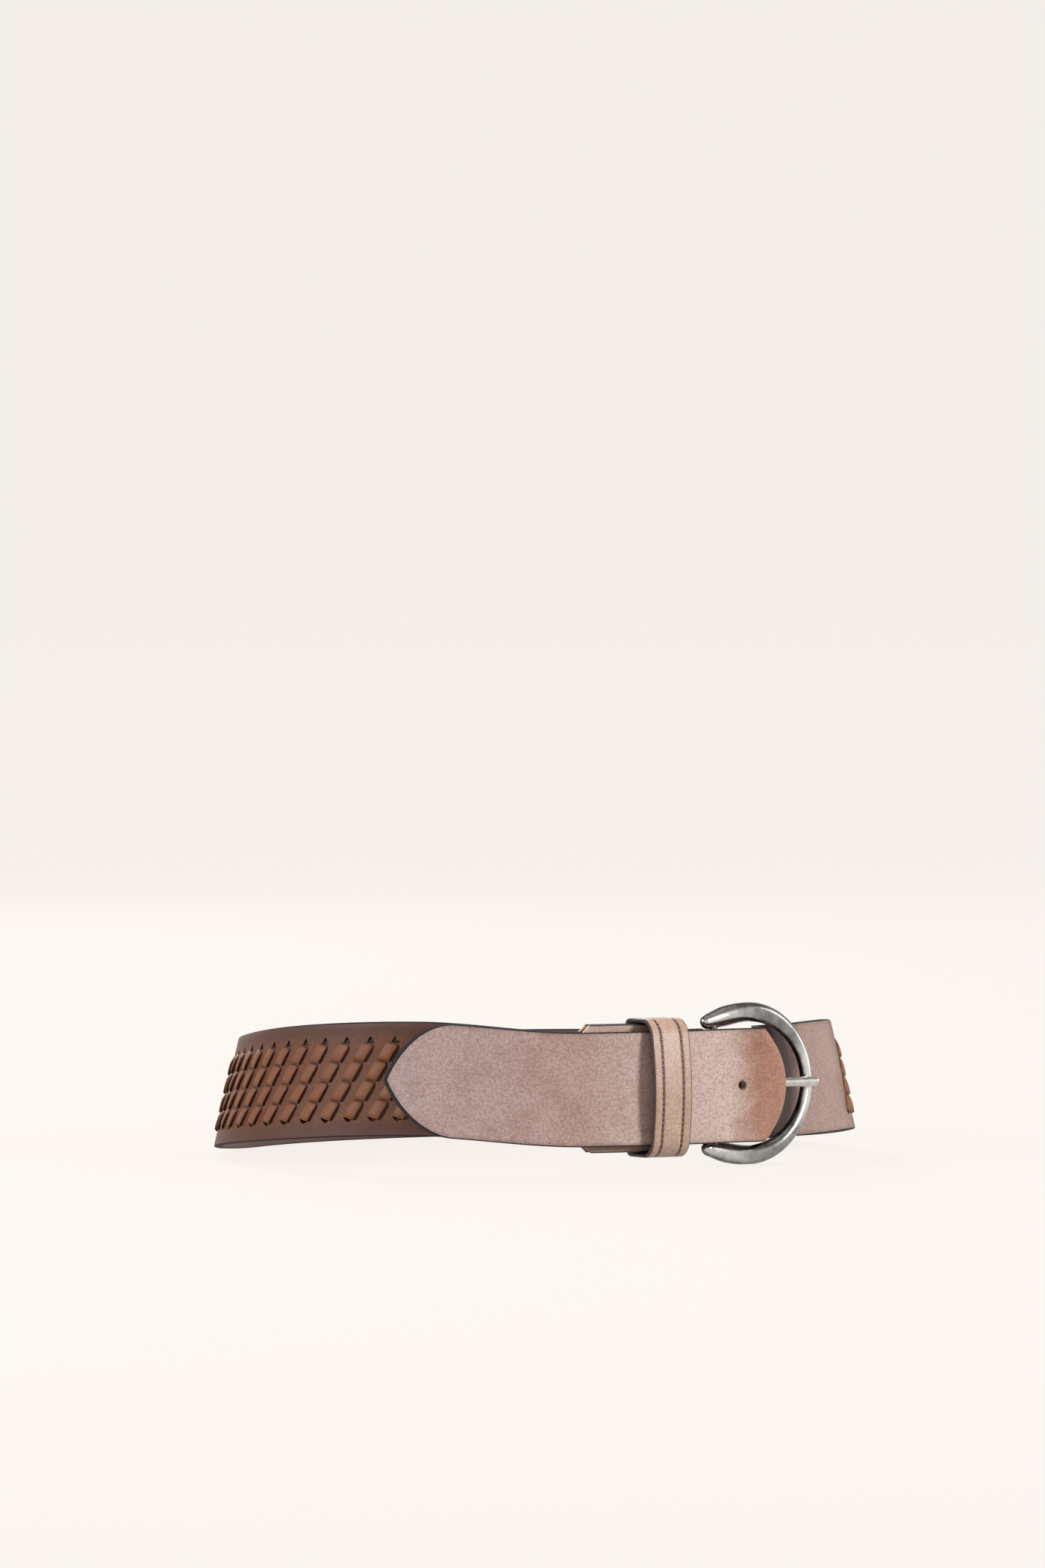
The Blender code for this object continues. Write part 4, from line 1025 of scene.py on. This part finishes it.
makeStrap()
makeLaces()
makeTab()
makeKeeper()
makeStitches()
makeFrame()
makeProng()
for name in ["buckle_bar"] + ["rivet_%s_%d" % (kind, i) for kind in ("post", "cap") for i in (1, 2, 3, 4)]:
    cover(frame["nodes"][name], nickel)
cover(frame["nodes"]["keeper_staple"], steel)

stageLook = dict(floor=tone(245, 240, 234), glow=0.95, bounce=0.06, flat=7.0, bend=3.0, top=7.0, sides=96,
                 gloss=0.95, level=0.05)


def makeStage():  # round floor that curves up into its own backdrop
    look = stageLook
    bow = [(look["flat"] + look["bend"] * math.sin(a), look["bend"] * (1 - math.cos(a)))
           for a in np.linspace(0, math.pi / 2, 13)]
    freshStart()
    bpy.ops.mesh.primitive_circle_add(vertices=look["sides"], radius=look["flat"], fill_type="NGON")
    floor = bpy.context.object
    floor.name = "studioFloor"
    enter("EDIT")
    bpy.ops.mesh.select_all(action="SELECT")
    bpy.ops.mesh.select_mode(type="EDGE")
    bpy.ops.mesh.region_to_loop()
    reach, high = bow[0]
    for wide, rise in bow[1:] + [(bow[-1][0], look["top"])]:
        bpy.ops.mesh.extrude_edges_move(TRANSFORM_OT_translate=dict(value=(0, 0, rise - high)))
        bpy.ops.transform.resize(value=(wide / reach, wide / reach, 1), center_override=(0, 0, 0))
        reach, high = wide, rise
    bpy.ops.mesh.select_all(action="SELECT")
    bpy.ops.mesh.normals_make_consistent(inside=True)
    enter("OBJECT")
    bpy.ops.object.shade_smooth()
    dim = tuple(look["bounce"] * c for c in look["floor"])
    cover(floor, Finish("paleFloor").feed(colour=dim, roughness=look["gloss"], level=look["level"],
                                          glowColour=look["floor"], glow=look["glow"]))
    floor.visible_diffuse = False  # the lights alone shape the leather


def areaLight(name, place, aim, size, power):
    light = bpy.data.lights.new(name, "AREA")
    light.shape = "RECTANGLE"
    light.size, light.size_y = size
    light.energy = power
    obj = addObject(name, light)
    obj.location = place
    obj.rotation_euler = (Vector(aim) - Vector(place)).to_track_quat("-Z", "Y").to_euler()
    obj.visible_camera = False


# Each light's place, size and power
lightPlan = dict(key=((2.0, -1.3, 0.8), (0.5, 0.5), 46), left=((-2.0, -1.1, 0.8), (0.5, 0.8), 46),
                 rim=((1.9, 0.55, 0.62), (0.3, 1.15), 8), top=((0, 0.1, 3.0), (3.0, 3.0), 26),
                 back=((-0.7, 2.2, 1.0), (0.8, 0.8), 24))
worldLook = dict(lightAim=(0, -0.05, 0.03), colour=tone(246, 243, 238), strength=0.42)


def makeLights():
    for name, (place, size, power) in lightPlan.items():
        areaLight(name, place, worldLook["lightAim"], size, power)
    world = bpy.data.worlds.new("studio")
    world.use_nodes = True
    inputs = world.node_tree.nodes["Background"].inputs
    inputs["Color"].default_value = (*worldLook["colour"], 1)
    inputs["Strength"].default_value = worldLook["strength"]
    bpy.context.scene.world = world


cameraPlan = dict(distance=6.0, elevation=math.radians(3.0), pixelsPerMm=3.4, frontDepth=0.105,
                  middle=(717.7, 1439), image=(1400, 2100), sensor=36, aim=(0, 0, 0.0315))


def makeCamera():
    plan, (across, down) = cameraPlan, cameraPlan["image"]
    camera = bpy.data.cameras.new("photoView")
    camera.sensor_fit = "HORIZONTAL"
    camera.sensor_width = plan["sensor"]
    wide = across / plan["pixelsPerMm"] * mm
    camera.lens = plan["sensor"] * (plan["distance"] - plan["frontDepth"]) / wide
    camera.shift_x = -(plan["middle"][0] - across / 2) / across
    camera.shift_y = (plan["middle"][1] - down / 2) / across
    camera.clip_end = 100
    obj = addObject("photoView", camera)
    aim, tilt = Vector(plan["aim"]), plan["elevation"]
    obj.location = aim + plan["distance"] * Vector((0, -math.cos(tilt), math.sin(tilt)))
    obj.rotation_euler = (aim - obj.location).to_track_quat("-Z", "Y").to_euler()
    bpy.context.scene.camera = obj


makeStage()
makeLights()
makeCamera()

bpy.context.scene.view_settings.view_transform = "Standard"
freshStart()
print("done")
